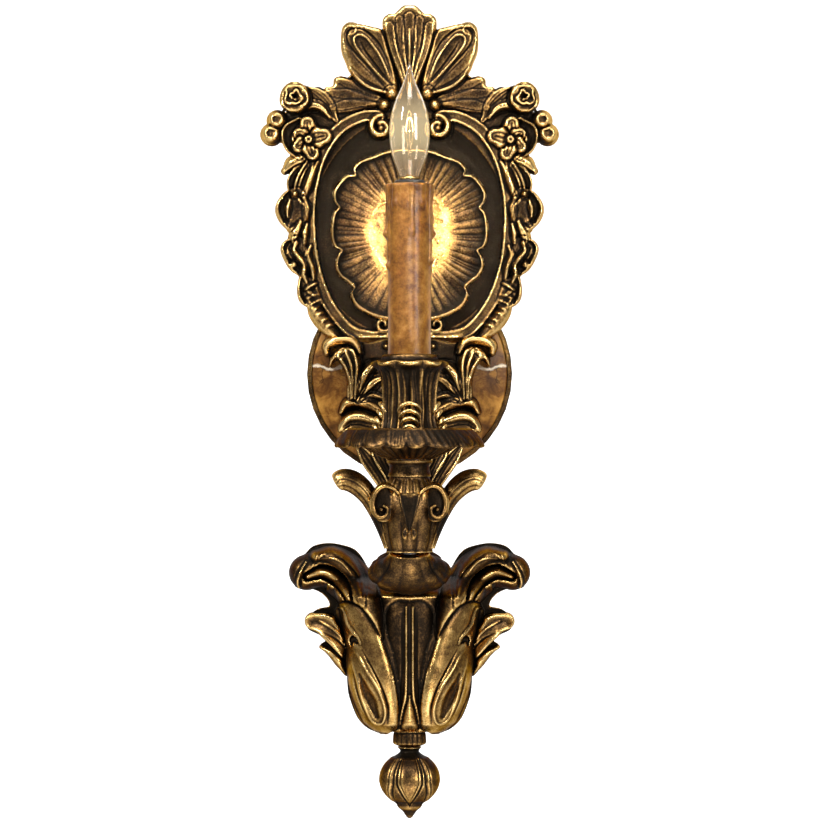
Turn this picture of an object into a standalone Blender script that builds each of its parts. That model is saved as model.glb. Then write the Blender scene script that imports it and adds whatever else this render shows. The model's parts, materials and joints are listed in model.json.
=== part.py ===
"""Wall sconce with one electric candle, built piece by piece as it would come apart on a bench.

Sizes below are in millimetres. `out` is the distance in front of the wall, so y = -out. The wall is the
plane y = 0, the origin is the middle of the mounting strap's back face, and +Z is up.
"""

import math

import bmesh
import bpy
from mathutils import Matrix, Vector

MM = 0.001
GAP = 0.3  # clearance between pieces that touch

# Wall side
CANOPY_R = 63.5
CANOPY_WALL = 1.5
CANOPY_WEB_OUT = 13.0
CANOPY_OUT = 19.0
RIM_WIDTH = 2.6
MARBLE_THICK = 3.8
STRAP_WIDTH = 20.0
STRAP_THICK = 2.0
STRAP_TAB = 12.0
STRAP_CLEARANCE = 1.5
BOX_SCREW_SPACING = 88.9
BOX_SLOT_LENGTH = 14.0
BOX_SLOT_WIDTH = 5.0
THUMB_SCREW_R = 1.95
THUMB_SCREW_OUT = 7.0
THUMB_HEAD_R = 4.5

# Spine and its fastenings
SPINE_WIDTH = 16.0
SPINE_THICK = 3.0
SPINE_TOP = 100.0
SPINE_BOTTOM = -158.0
NIPPLE_R = 4.8
NIPPLE_BORE = 3.2
NIPPLE_BACK = 8.2
SCREW_R = 2.0
SCREW_HEAD_R = 3.8
SCREW_HEAD = 2.4
NUT_ACROSS = 14.0
NUT_THICK = 4.0
WIRE_HOLE_R = 4.8
WIRE_HOLE_Z = -40.0

# Back castings
PLATE_THICK = 5.6
FRAME_Z = CANOPY_R + 23.0  # middle of the oval frame
FRAME_HALF_WIDTH = 59.0
FRAME_HALF_HEIGHT = 67.0
FRAME_MOULDING = 4.2
DISH_HALF_WIDTH = 48.4
DISH_HALF_HEIGHT = 52.0
DISH_LOBES = 14
DISH_LOBE_DEPTH = 1.2
DISH_WALL = 2.2
DISH_RISE = 8.5
STEM_HALF_WIDTH = 12.6
STEM_OUT = 33.0
STEM_BOTTOM = -106.6
SEAM_Z = 22.0  # where the cartouche meets the scroll bracket
CALYX_WALL = 3.2
CALYX_TOP = -136.0
CALYX_BOTTOM = -221.0
FINIAL_OUT = 32.0
FINIAL_R = 18.7
FINIAL_NECK_R = 5.8
FINIAL_COLLAR_R = 10.0
FINIAL_COLLAR_TALL = 7.0
FINIAL_TALL = 43.6
FINIAL_PAD = 6.0  # height of the calyx's floor where the finial's nut sits
STUD_R = 2.4

# Column that carries the candle
COLUMN_OUT = 95.0
PIPE_R = 4.9
PIPE_BORE = 3.3
PIPE_BEND = 12.0
ARM_Z = -120.5
ARM_ROOT_OUT = 36.0
PIPE_TOP = 30.0
NECK_R = 13.6
NECK_BOTTOM = -106.6
URN_R = 17.4
URN_TOP = -62.0
COLLAR_R = 12.5
COLLAR_TOP = -52.0
PAN_R = 45.2
PAN_CREST_R = 36.0
PAN_CREST = -33.0
PAN_FLOOR = -44.0
PAN_PETALS = 16
CUP_WAIST_R = 15.6
CUP_BASE_R = 19.0
CUP_RIM_R = 17.0
CUP_TOP = 10.6
CUP_RECESS = 3.0

# Candle, socket and bulb
SLEEVE_R = 12.75
SLEEVE_BORE = 10.6
SLEEVE_TALL = 104.0
LINER_R = 10.0
LINER_WALL = 0.7
SOCKET_R = 9.0
SOCKET_BOTTOM = 80.0
SOCKET_OVER = 2.0  # how far the socket stands above the sleeve
SOCKET_FLOOR = 5.0
SOCKET_BORE = 7.1
SHELL_WALL = 0.45
RISER_R = 7.0
RISER_OVERLAP = 6.0
BASE_R = 5.9  # E12 bulb base
BASE_TALL = 15.0
BASE_WALL = 0.5
GLASS_WALL = 0.8
GLASS_R = 12.0
GLASS_TALL = 67.6
STEM_TALL = 26.5
WIRE_R = 0.9
WIRE_APART = 1.4

SLEEVE_BOTTOM = CUP_TOP - CUP_RECESS + GAP
SLEEVE_TOP = SLEEVE_BOTTOM + SLEEVE_TALL
SOCKET_TOP = SLEEVE_TOP + SOCKET_OVER
MARBLE_BACK = CANOPY_WEB_OUT + CANOPY_WALL + GAP
SPINE_BACK = CANOPY_OUT + GAP
SPINE_FRONT = SPINE_BACK + SPINE_THICK
PLATE_BACK = SPINE_BACK
PLATE_FRONT = PLATE_BACK + PLATE_THICK
FLOOR_HOLE = SCREW_R + 0.4

BRASS = (0.42, 0.27, 0.10)
DARK_BRASS = (0.16, 0.11, 0.06)
STEEL = (0.55, 0.56, 0.58)
MATERIALS = {
    "gilt_brass": (BRASS, 0.35, 1.0),
    "aged_brass": (DARK_BRASS, 0.4, 1.0),
    "bright_brass": ((0.75, 0.55, 0.25), 0.25, 1.0),
    "marble": ((0.25, 0.15, 0.09), 0.2, 0.0),
    "zinc_steel": (STEEL, 0.35, 1.0),
    "candle_resin": ((0.72, 0.45, 0.16), 0.4, 0.0),
    "phenolic": ((0.02, 0.02, 0.02), 0.4, 0.0),
    "card": ((0.75, 0.68, 0.55), 0.9, 0.0),
    "clear_glass": ((0.95, 0.93, 0.85), 0.05, 0.0),
    "tungsten": ((0.9, 0.6, 0.25), 0.4, 1.0),
    "wire_black": ((0.02, 0.02, 0.02), 0.5, 0.0),
    "wire_white": ((0.85, 0.85, 0.82), 0.5, 0.0),
    "wire_green": ((0.05, 0.35, 0.12), 0.5, 0.0),
    "nut_orange": ((0.8, 0.3, 0.05), 0.5, 0.0),
}


# ---------------------------------------------------------------- helpers


def material(slot):
    """The Principled material of this slot, made once."""
    made = bpy.data.materials.get(slot)
    if made:
        return made
    colour, rough, metal = MATERIALS[slot]
    made = bpy.data.materials.new(slot)
    made.use_nodes = True
    shader = made.node_tree.nodes["Principled BSDF"]
    shader.inputs["Base Color"].default_value = (*colour, 1.0)
    shader.inputs["Roughness"].default_value = rough
    shader.inputs["Metallic"].default_value = metal
    return made


def place(name, bm, slot=None):
    """Makes a named object of a bmesh that is in millimetres. With no slot it is a tool for a Boolean."""
    bmesh.ops.remove_doubles(bm, verts=bm.verts, dist=1e-4)
    bmesh.ops.recalc_face_normals(bm, faces=bm.faces)
    bmesh.ops.scale(bm, vec=(MM, MM, MM), verts=bm.verts)
    mesh = bpy.data.meshes.new(name)
    bm.to_mesh(mesh)
    bm.free()
    obj = bpy.data.objects.new(name, mesh)
    bpy.context.scene.collection.objects.link(obj)
    if slot:
        mesh.materials.append(material(slot))
        mesh.shade_smooth()
        mesh.set_sharp_from_angle(angle=math.radians(35))
    return obj


def combine(target, tools, operation):
    """Adds the tools to the target, or cuts them from it, with exact Booleans, and removes them."""
    for tool in tools:
        modifier = target.modifiers.new("combine", "BOOLEAN")
        modifier.operation = operation
        modifier.solver = "EXACT"
        modifier.object = tool
        graph = bpy.context.evaluated_depsgraph_get()
        mesh = bpy.data.meshes.new_from_object(target.evaluated_get(graph))
        target.modifiers.clear()
        target.data = mesh
        bpy.data.objects.remove(tool)
    return target


def fuse(target, *tools):
    return combine(target, tools, "UNION")


def cut(target, *tools):
    return combine(target, tools, "DIFFERENCE")


def rings(bm, loops, closed_along=False):
    """Quads between loops of equal length. closed_along joins the two ends, else both are capped."""
    made = [[bm.verts.new(p) for p in loop] for loop in loops]
    pairs = list(zip(made, made[1:], strict=False))
    if closed_along:
        pairs.append((made[-1], made[0]))
    else:
        bm.faces.new(made[0])
        bm.faces.new(reversed(made[-1]))
    for a, b in pairs:
        for i in range(len(a)):
            j = (i + 1) % len(a)
            corners = [a[i], a[j], b[j], b[i]]
            bm.faces.new(corners)


def turned(name, profile, slot=None, steps=24, axis="Z", at=(0, 0, 0), phase=0.0):
    """Turns a closed outline of (radius, height) about an axis. The outline may be a function of the angle.

    A height runs up for axis Z, and out from the wall for axis Y. Phase turns the facets by part of a step.
    """
    outline = profile if callable(profile) else lambda _angle: profile
    bm = bmesh.new()
    loops = []
    for step in range(steps):
        angle = 2 * math.pi * (step + phase) / steps
        across, up = math.cos(angle), math.sin(angle)
        if axis == "Z":
            loops.append([(r * across, r * up, h) for r, h in outline(angle)])
        else:
            loops.append([(r * across, -h, r * up) for r, h in outline(angle)])
    rings(bm, loops, closed_along=True)
    bmesh.ops.remove_doubles(bm, verts=bm.verts, dist=1e-4)
    bmesh.ops.dissolve_degenerate(bm, edges=bm.edges, dist=1e-4)
    bmesh.ops.translate(bm, vec=at, verts=bm.verts)
    return place(name, bm, slot)


def rod(name, radius, low, high, slot=None, steps=16, axis="Z", at=(0, 0, 0)):
    """A cylinder. A cutter's facets are turned a little, so its corners stay off the other piece's edges."""
    outline = [(0, low), (radius, low), (radius, high), (0, high)]
    return turned(name, outline, slot, steps, axis, at, 0.0 if slot else 0.4)


def tube(name, outer, inner, low, high, slot=None, steps=24, axis="Z", at=(0, 0, 0)):
    outline = [(inner, low), (outer, low), (outer, high), (inner, high)]
    return turned(name, outline, slot, steps, axis, at)


def box(name, low, high, slot=None):
    """A box from its low and high corners, given as (x, out, z)."""
    bm = bmesh.new()
    size = [b - a for a, b in zip(low, high, strict=True)]
    middle = ((low[0] + high[0]) / 2, -(low[1] + high[1]) / 2, (low[2] + high[2]) / 2)
    bmesh.ops.create_cube(bm, size=1, matrix=Matrix.Translation(middle) @ Matrix.Diagonal((*size, 1)))
    return place(name, bm, slot)


def extruded(name, outline, low, high, slot=None, along="out"):
    """Extrudes a closed outline: (x, z) points along out, or (out, z) points along x."""
    bm = bmesh.new()
    if along == "out":
        ends = [[(x, -depth, z) for x, z in outline] for depth in (low, high)]
    else:
        ends = [[(depth, -o, z) for o, z in outline] for depth in (low, high)]
    rings(bm, ends)
    return place(name, bm, slot)


def smooth_line(points, steps, closed=False):
    """Points on a Catmull-Rom curve through the given ones."""
    given = [Vector(p) for p in points]
    count = len(given)
    found = []
    for i in range(count if closed else count - 1):
        if closed:
            p0, p1, p2, p3 = (given[(i + k) % count] for k in (-1, 0, 1, 2))
        else:
            p0, p1, p2, p3 = (given[min(max(i + k, 0), count - 1)] for k in (-1, 0, 1, 2))
        for step in range(steps):
            t = step / steps
            found.append(
                0.5
                * (
                    2 * p1
                    + (p2 - p0) * t
                    + (2 * p0 - 5 * p1 + 4 * p2 - p3) * t**2
                    + (3 * p1 - p0 - 3 * p2 + p3) * t**3
                )
            )
    return found if closed else [*found, given[-1]]


def mirrored(half):
    """A closed outline from its +X half, which starts and ends on the middle line."""
    return [*half, *[(-x, z) for x, z in reversed(half[1:-1])]]


def dome(name, x, z, out, wide, tall, deep, tilt=0.0, segments=8, rows=6):
    """An ellipsoid boss at (x, out, z), turned in the plate's plane by tilt degrees."""
    bm = bmesh.new()
    bmesh.ops.create_uvsphere(bm, u_segments=segments, v_segments=rows, radius=1)
    size = Matrix.Diagonal((wide, deep, tall, 1))
    turn = Matrix.Rotation(math.radians(tilt), 4, "Y")
    bmesh.ops.transform(bm, matrix=Matrix.Translation((x, -out, z)) @ turn @ size, verts=bm.verts)
    return place(name, bm)


def swept(name, path, sizes, side, slot=None, bore=0.0, sides=16):
    """A tapered bar along a path that lies in the plane normal to `side`.

    sizes holds (half width along side, half depth across it) at each point. A bore leaves a round hole.
    """
    side = Vector(side)
    loops = []
    for i, point in enumerate(path):
        ahead = Vector(path[min(i + 1, len(path) - 1)]) - Vector(path[max(i - 1, 0)])
        across = ahead.normalized().cross(side).normalized()
        wide, deep = sizes[i]
        turns = [2 * math.pi * k / sides for k in range(sides)]
        loop = [Vector(point) + side * wide * math.cos(a) + across * deep * math.sin(a) for a in turns]
        hole = [Vector(point) + side * bore * math.cos(a) + across * bore * math.sin(a) for a in turns]
        loops.append((loop, hole))
    bm = bmesh.new()
    if bore:
        skin = [loop for loop, _ in loops] + [hole for _, hole in reversed(loops)]
        rings(bm, skin, closed_along=True)
    else:
        rings(bm, [loop for loop, _ in loops])
    return place(name, bm, slot)


def arc(centre, radius, start, end, count):
    """Points (out, z) on an arc, with angles in degrees from the out direction."""
    angles = [math.radians(start + (end - start) * k / count) for k in range(count + 1)]
    return [(centre[0] + radius * math.cos(a), centre[1] + radius * math.sin(a)) for a in angles]


def nut_outline(low, high, bore):
    """A hexagon nut's outline at each angle."""

    def outline(angle):
        off = (angle % (math.pi / 3)) - math.pi / 6
        radius = NUT_ACROSS / 2 / math.cos(off)
        return [(bore, low), (radius, low), (radius, high), (bore, high)]

    return outline


# ---------------------------------------------------------------- wall side


def mounting_strap():
    """U-shaped steel strap with slots for the outlet box's screws and tabs for the canopy's thumb screws."""
    reach = CANOPY_R - CANOPY_WALL - STRAP_CLEARANCE
    inner = reach - STRAP_THICK
    outline = [
        (0, -reach),
        (STRAP_TAB, -reach),
        (STRAP_TAB, -inner),
        (STRAP_THICK, -inner),
        (STRAP_THICK, inner),
        (STRAP_TAB, inner),
        (STRAP_TAB, reach),
        (0, reach),
    ]
    strap = extruded("mounting_strap", outline, -STRAP_WIDTH / 2, STRAP_WIDTH / 2, "zinc_steel", "x")
    slot_end = BOX_SCREW_SPACING / 2 + BOX_SLOT_WIDTH / 2
    for sign in (-1, 1):
        ends = sorted((sign * slot_end, sign * (slot_end - BOX_SLOT_LENGTH)))
        half = BOX_SLOT_WIDTH / 2
        cut(strap, box("slot", (-half, -1, ends[0]), (half, STRAP_THICK + 1, ends[1])))
        at = (0, -THUMB_SCREW_OUT, sign * reach)
        cut(strap, rod("hole", THUMB_SCREW_R + 0.35, -STRAP_THICK * 2, STRAP_THICK * 2, at=at))
    cut(strap, rod("ground_hole", FLOOR_HOLE, -1, STRAP_THICK + 1, axis="Y", at=(0, 0, GROUND_Z)))
    return strap


def canopy_pan():
    """Spun brass canopy: a dish open to the wall, with a recess and a thin rim for the marble disc."""
    inner = CANOPY_R - CANOPY_WALL
    hole = NIPPLE_R + 0.6
    web_front = CANOPY_WEB_OUT + CANOPY_WALL
    outline = [
        (hole, CANOPY_WEB_OUT),
        (inner, CANOPY_WEB_OUT),
        (inner, 0),
        (CANOPY_R, 0),
        (CANOPY_R, CANOPY_OUT - 0.8),
        (CANOPY_R - 0.8, CANOPY_OUT),
        (CANOPY_R - RIM_WIDTH, CANOPY_OUT),
        (CANOPY_R - RIM_WIDTH, web_front),
        (hole, web_front),
    ]
    pan = turned("canopy_pan", outline, "gilt_brass", 36, "Y")
    cut(pan, rod("wire_hole", WIRE_HOLE_R, 10, 22, axis="Y", at=(0, 0, WIRE_HOLE_Z)))
    for sign in (-1, 1):
        at = (0, -THUMB_SCREW_OUT, sign * (CANOPY_R - CANOPY_WALL / 2))
        cut(pan, rod("hole", THUMB_SCREW_R + 0.45, -3, 3, at=at))
    return pan


def marble_disc():
    radius = CANOPY_R - RIM_WIDTH - 0.4
    front = MARBLE_BACK + MARBLE_THICK
    disc = tube("marble_disc", radius, NIPPLE_R + 0.6, MARBLE_BACK, front, "marble", 36, "Y")
    return cut(disc, rod("wire_hole", WIRE_HOLE_R, 10, 22, axis="Y", at=(0, 0, WIRE_HOLE_Z)))


def thumb_screw(name, sign):
    """Knurled screw that holds the canopy to a tab of the strap, from outside the rim."""
    tip = CANOPY_R - 10
    head = CANOPY_R + 0.7
    outline = [
        (0, tip),
        (THUMB_SCREW_R, tip),
        (THUMB_SCREW_R, head),
        (THUMB_HEAD_R, head),
        (THUMB_HEAD_R, head + 5),
        (THUMB_HEAD_R - 1, head + 6),
        (0, head + 6),
    ]
    outline = [(r, sign * h) for r, h in outline]
    return turned(name, outline, "aged_brass", 20, at=(0, -THUMB_SCREW_OUT, 0))


def ground_screw():
    outline = [
        (0, 1),
        (SCREW_R, 1),
        (SCREW_R, STRAP_THICK + GAP),
        (SCREW_HEAD_R, STRAP_THICK + GAP),
        (SCREW_HEAD_R, STRAP_THICK + GAP + 1.8),
        (0, STRAP_THICK + GAP + 1.8),
    ]
    return turned("ground_screw", outline, "wire_green", 16, "Y", at=(0, 0, GROUND_Z))


def centre_nipple():
    return tube("centre_nipple", NIPPLE_R, NIPPLE_BORE, NIPPLE_BACK, NIPPLE_FRONT, "zinc_steel", 20, "Y")


def back_nut():
    high = CANOPY_WEB_OUT - GAP
    return turned("nipple_nut", nut_outline(high - NUT_THICK, high, NIPPLE_R + GAP), "zinc_steel", 24, "Y")


def cap_nut():
    """Domed nut that closes the nipple in front of the scroll bracket."""
    low = BRACKET_FRONT + GAP
    bore = NIPPLE_R + GAP
    floor = NIPPLE_FRONT + 0.6

    def outline(angle):
        off = (angle % (math.pi / 3)) - math.pi / 6
        hexagon = NUT_ACROSS / 2 / math.cos(off)
        return [
            (bore, low),
            (hexagon, low),
            (hexagon, floor - 1),
            (6.2, floor + 0.4),
            (4.2, floor + 3),
            (0, floor + 4),
            (0, floor),
            (bore, floor),
        ]

    return turned("cap_nut", outline, "aged_brass", 24, "Y")


def spine_bar():
    """Steel bar behind the castings, which holds them all to the canopy."""
    half = SPINE_WIDTH / 2
    bar = box("spine_bar", (-half, SPINE_BACK, SPINE_BOTTOM), (half, SPINE_FRONT, SPINE_TOP), "zinc_steel")
    cut(bar, rod("hole", NIPPLE_R + 0.5, 15, 30, axis="Y"))
    cut(bar, rod("hole", WIRE_HOLE_R, 15, 30, axis="Y", at=(0, 0, WIRE_HOLE_Z)))
    for z in SPINE_SCREWS.values():
        cut(bar, rod("hole", FLOOR_HOLE, 15, 30, axis="Y", steps=12, at=(0, 0, z)))
    return bar


def spine_screw(name, z, tip):
    """Pan-head screw from behind the spine into a casting."""
    head = SPINE_BACK - GAP
    outline = [
        (0, head - SCREW_HEAD),
        (SCREW_HEAD_R, head - SCREW_HEAD + 0.6),
        (SCREW_HEAD_R, head),
        (SCREW_R, head),
        (SCREW_R, tip),
        (0, tip),
    ]
    return turned(name, outline, "zinc_steel", 16, "Y", at=(0, 0, z))


def screw_hole(z, tip):
    return rod("screw_hole", FLOOR_HOLE, SPINE_BACK - 1, tip + 0.6, axis="Y", steps=12, at=(0, 0, z))


def spine_groove(low, high, depth=SPINE_FRONT):
    half = SPINE_WIDTH / 2 + 0.4
    return box("groove", (-half, PLATE_BACK - 1, low), (half, depth + 0.4, high))


# ---------------------------------------------------------------- back castings

CARTOUCHE_HALF = [
    (0, 225),
    (6.5, 223.6),
    (14.2, 220),
    (16.6, 214),
    (18.4, 210.6),
    (26.5, 215),
    (36.5, 216.8),
    (42, 213.6),
    (42.3, 201),
    (40.6, 193.5),
    (36.6, 186.4),
    (44.5, 183.8),
    (46.5, 180.4),
    (51.5, 178.4),
    (57, 175.8),
    (62.5, 177),
    (69.5, 179),
    (76, 176.6),
    (79.8, 168.5),
    (79, 161.8),
    (85.5, 158.6),
    (89.2, 152.6),
    (91.4, 147),
    (87.6, 141),
    (77, 139.4),
    (74.4, 132.6),
    (79.4, 125),
    (75.8, 117),
    (80.2, 108.2),
    (82.6, 100.5),
    (79.2, 91),
    (73.4, 85.6),
    (78.8, 79.6),
    (78.6, 70.6),
    (71.4, 61),
    (68.6, 51.8),
    (67, 43.4),
    (61.2, 40),
    (58.4, 32.4),
    (51, 23.4),
    (39, 20),
    (0, 19),
]

# Bosses of the cartouche's relief on the +X side: x, z, out, half width, half height, half depth, tilt
CARTOUCHE_BOSSES = [
    (31, 199, 26, 8.5, 19, 6, 33),
    (42, 176, 26, 6.5, 17, 5, 62),
    (24, 184, 27, 4, 10, 6, 40),
    (70.5, 169.5, 29, 8.6, 8.6, 9, 0),
    (80, 152, 27, 7, 8, 8, 0),
    (84.5, 147, 26, 6, 6, 8, 0),
    (62, 147, 28, 9.5, 10, 6, 0),
    (73, 125, 27, 5, 10, 6, -20),
    (73.5, 101, 27, 7.5, 13, 6, 10),
    (71, 77, 26, 6, 13, 6, -10),
    (63.5, 52, 26, 5, 13, 5, -25),
]


def cartouche():
    """Upper back casting: shell crest, flowers and the oval frame on one plate."""
    plate = extruded("cartouche", mirrored(CARTOUCHE_HALF), PLATE_BACK, PLATE_FRONT, "gilt_brass")
    ring = turned("ring", frame_moulding, steps=36, axis="Y", at=(0, 0, FRAME_Z))
    stretch_tall(ring, FRAME_HALF_HEIGHT / FRAME_HALF_WIDTH)
    fuse(plate, ring)
    fuse(plate, dome("crest", 0, 203, 27, 9.5, 20, 7))
    for x, z, out, wide, tall, deep, tilt in CARTOUCHE_BOSSES:
        for sign in (-1, 1):
            fuse(plate, dome("boss", sign * x, z, out, wide, tall, deep, sign * tilt))
    back = box("back", (-100, PLATE_BACK - 30, 0), (100, PLATE_BACK, 240))
    below = box("below", (-100, PLATE_BACK - 10, 0), (100, 60, SEAM_Z + GAP))
    cut(plate, back, below, spine_groove(0, SPINE_TOP + 1))
    for name in ("cartouche_screw", "dish_screw"):
        cut(plate, screw_hole(SPINE_SCREWS[name], PLATE_FRONT if name == "dish_screw" else CARTOUCHE_TIP))
    return plate


def frame_moulding(_angle):
    """Half-round section of the oval frame, sunk a little into the plate."""
    low = PLATE_FRONT - 0.8
    points = [(FRAME_HALF_WIDTH - FRAME_MOULDING, low)]
    for k in range(5):
        a = math.pi * k / 4
        points.append((FRAME_HALF_WIDTH - FRAME_MOULDING * math.cos(a), PLATE_FRONT + 7 * math.sin(a) + 0.2))
    points.append((FRAME_HALF_WIDTH + FRAME_MOULDING, low))
    return points[::-1]


def stretch_tall(obj, share):
    """Stretches a turned ring along Z about the frame's middle, so that it is oval."""
    for vertex in obj.data.vertices:
        vertex.co.z = FRAME_Z * MM + (vertex.co.z - FRAME_Z * MM) * share


def medallion_dish():
    """Scalloped oval dish in the frame, with a boss behind for its screw."""
    low = PLATE_FRONT + GAP
    rim = low + DISH_RISE

    def outline(angle):
        wave = DISH_LOBE_DEPTH * abs(math.cos(DISH_LOBES * angle / 2))
        edge = DISH_HALF_WIDTH - DISH_LOBE_DEPTH + wave
        return [
            (0, low),
            (16, low),
            (30, low + 1),
            (edge - 2, rim - DISH_WALL),
            (edge, rim - 0.8),
            (edge, rim),
            (edge - 2.4, rim),
            (29, low + 1 + DISH_WALL),
            (14, low + DISH_BOSS),
            (0, low + DISH_BOSS),
        ]

    steps = DISH_LOBES * 3
    dish = turned("medallion_dish", outline, "bright_brass", steps, "Y", at=(0, 0, FRAME_Z))
    stretch_tall(dish, DISH_HALF_HEIGHT / DISH_HALF_WIDTH)
    return cut(dish, screw_hole(FRAME_Z, DISH_TIP))


SCROLL_HALF = [
    (0, 12),
    (14, 10),
    (24, 18),
    (30, 22),
    (38, 24),
    (50, 21.5),
    (53.5, 15),
    (47, 8),
    (43, -4),
    (42.5, -14),
    (46, -27),
    (43, -38),
    (33, -45),
    (25, -56),
    (21, -68),
    (16, -78),
    (12.6, -86),
    (12.6, STEM_BOTTOM),
    (0, STEM_BOTTOM),
]

SCROLL_BOSSES = [
    (36, 9, 28, 6, 13, 6, -8),
    (46, 18, 27, 7.5, 4.5, 5, 10),
    (27, 6, 28, 4.5, 13, 5, 30),
    (33, -22, 29, 13, 5, 7, -12),
    (34, -29, 29, 12, 4.5, 6, 20),
    (20, -52, 28, 6, 17, 5, 22),
]


def scroll_bracket():
    """Middle back casting: acanthus fronds and scrolls, and below them the channelled stem for the wires."""
    outline = mirrored(SCROLL_HALF)
    plate = extruded("scroll_bracket", outline, PLATE_BACK, PLATE_FRONT, "gilt_brass")
    middle = 8 - STEM_OUT
    size = (STEM_HALF_WIDTH - 0.2, 8)
    path = [(0, middle, -30), (0, middle, STEM_BOTTOM + 0.2)]
    stem = swept("stem", path, [size, size], (1, 0, 0))
    boss = box("boss", (-11, PLATE_BACK + 1, -12), (11, BRACKET_FRONT, 12))
    fuse(plate, stem, boss)
    for x, z, out, wide, tall, deep, tilt in SCROLL_BOSSES:
        for sign in (-1, 1):
            fuse(plate, dome("boss", sign * x, z, out, wide, tall, deep, sign * tilt))
    cut(plate, box("back", (-100, PLATE_BACK - 30, -130), (100, PLATE_BACK, 40)))
    cut(plate, spine_groove(-130, 20))
    half = SPINE_WIDTH / 2 + 0.4
    cut(plate, box("channel", (-half, PLATE_BACK - 1, -130), (half, STEM_OUT - 3.4, WIRE_HOLE_Z + 6)))
    cut(plate, rod("nipple_hole", NIPPLE_R + 0.5, 15, 40, axis="Y"))
    return cut(plate, box("above", (-100, PLATE_BACK - 1, SEAM_Z), (100, 60, 60)))


# Leaves at the calyx's sides: route in (x, z), out, half width and half depth
CALYX_LEAVES = [
    ([(31, -165), (37, -140), (43, -118), (54, -110), (66, -119), (69, -129)], 31.0, 9, 8.5),
    ([(35, -190), (42, -168), (52, -152), (60.5, -149)], 27.0, 6.5, 5.8),
]


def calyx_reach(height, angle):
    """How far the calyx's wall is from its back line at a height from 0 to 1 and an angle from -90 to 90."""
    belly = 25 + 14.5 * math.sin(min(height * 1.9, 1.0) * math.pi / 2)
    flare = 5.5 * max(0.0, height - 0.45) ** 2 / 0.3
    petal = 1.6 * abs(math.cos(2.5 * angle))
    return belly + flare + petal


def calyx():
    """Lower back casting: a half-round cup of leaves, open behind and above, its leaf tips curled out."""
    rows, columns = 8, 18
    skin, lining = [], []
    for i in range(rows + 1):
        height = i / rows
        z = CALYX_BOTTOM + (CALYX_TOP - CALYX_BOTTOM) * height
        outer_row, inner_row = [], []
        for j in range(columns + 1):
            angle = math.radians(-90 + 180 * j / columns)
            reach = calyx_reach(height, angle)
            for row, size in ((outer_row, reach), (inner_row, reach - CALYX_WALL)):
                row.append((size * math.sin(angle), -PLATE_BACK - size * math.cos(angle), z))
        skin.append(outer_row)
        lining.append(inner_row)
    lining[0] = [(x, y, CALYX_BOTTOM + CALYX_WALL) for x, y, _ in lining[0]]
    bm = bmesh.new()
    loops = [outer + inner[::-1] for outer, inner in zip(skin, lining, strict=True)]
    # The lowest ring is closed by a floor, and the highest is the mouth's rim.
    floor_out = [(0, -PLATE_BACK, CALYX_BOTTOM)] * (columns + 1)
    floor_in = [(0, -PLATE_BACK, CALYX_BOTTOM + CALYX_WALL)] * (columns + 1)
    rings(bm, [floor_out + floor_in, *loops])
    bmesh.ops.remove_doubles(bm, verts=bm.verts, dist=1e-4)
    bmesh.ops.dissolve_degenerate(bm, edges=bm.edges, dist=1e-3)
    cup = place("calyx", bm, "gilt_brass")
    for sign in (-1, 1):
        for route, out, wide, deep in CALYX_LEAVES:
            line = smooth_line([(x, 0, z) for x, z in route], 2)
            swell = [math.sin(math.pi * k / (len(line) - 1)) for k in range(len(line))]
            sizes = [(wide * (0.6 + 0.4 * s), deep * (0.4 + 0.6 * s)) for s in swell]
            path = [(sign * p.x, -out, p.z) for p in line]
            fuse(cup, swept("leaf", path, sizes, (0, 1, 0), sides=10))
    low, high = SPINE_SCREWS["calyx_screw"] - 10, SPINE_SCREWS["calyx_screw"] + 8
    fuse(cup, box("strap", (-CALYX_STRAP, SPINE_FRONT, low), (CALYX_STRAP, SPINE_FRONT + 6, high)))
    pad_low, pad_high = CALYX_BOTTOM + 0.2, CALYX_BOTTOM + FINIAL_PAD
    fuse(cup, box("finial_pad", (-8, PLATE_BACK + 2, pad_low), (8, FINIAL_OUT + 6, pad_high)))
    cut(cup, spine_groove(CALYX_TOP - 60, -90))
    cut(cup, box("back", (-90, PLATE_BACK - 30, -240), (90, PLATE_BACK, -80)))
    cut(cup, screw_hole(SPINE_SCREWS["calyx_screw"], CALYX_TIP))
    cut(cup, rod("stud_hole", STUD_R + 0.35, CALYX_BOTTOM - 5, CALYX_BOTTOM + 12, at=(0, -FINIAL_OUT, 0)))
    return cup


def finial_stud():
    low = CALYX_BOTTOM - FINIAL_COLLAR_TALL - 12
    return rod("finial_stud", STUD_R, low, CALYX_BOTTOM + 10, "zinc_steel", 16, at=(0, -FINIAL_OUT, 0))


def finial_nut():
    low = CALYX_BOTTOM + FINIAL_PAD + GAP
    outline = nut_outline(low, low + 3, STUD_R + GAP)
    nut = turned("finial_nut", outline, "zinc_steel", 24, at=(0, -FINIAL_OUT, 0))
    for vertex in nut.data.vertices:
        centre = Vector((0, -FINIAL_OUT * MM, vertex.co.z))
        spread = vertex.co - centre
        if spread.length > 4 * MM:
            vertex.co = centre + spread * 0.62
    return nut


def finial_collar():
    top = CALYX_BOTTOM - GAP
    low = top - FINIAL_COLLAR_TALL
    outline = [
        (STUD_R + GAP, low),
        (FINIAL_COLLAR_R - 2.4, low),
        (FINIAL_COLLAR_R, low + 2),
        (FINIAL_COLLAR_R, top - 0.6),
        (FINIAL_COLLAR_R - 0.6, top),
        (STUD_R + GAP, top),
    ]
    return turned("finial_collar", outline, "gilt_brass", at=(0, -FINIAL_OUT, 0))


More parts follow.
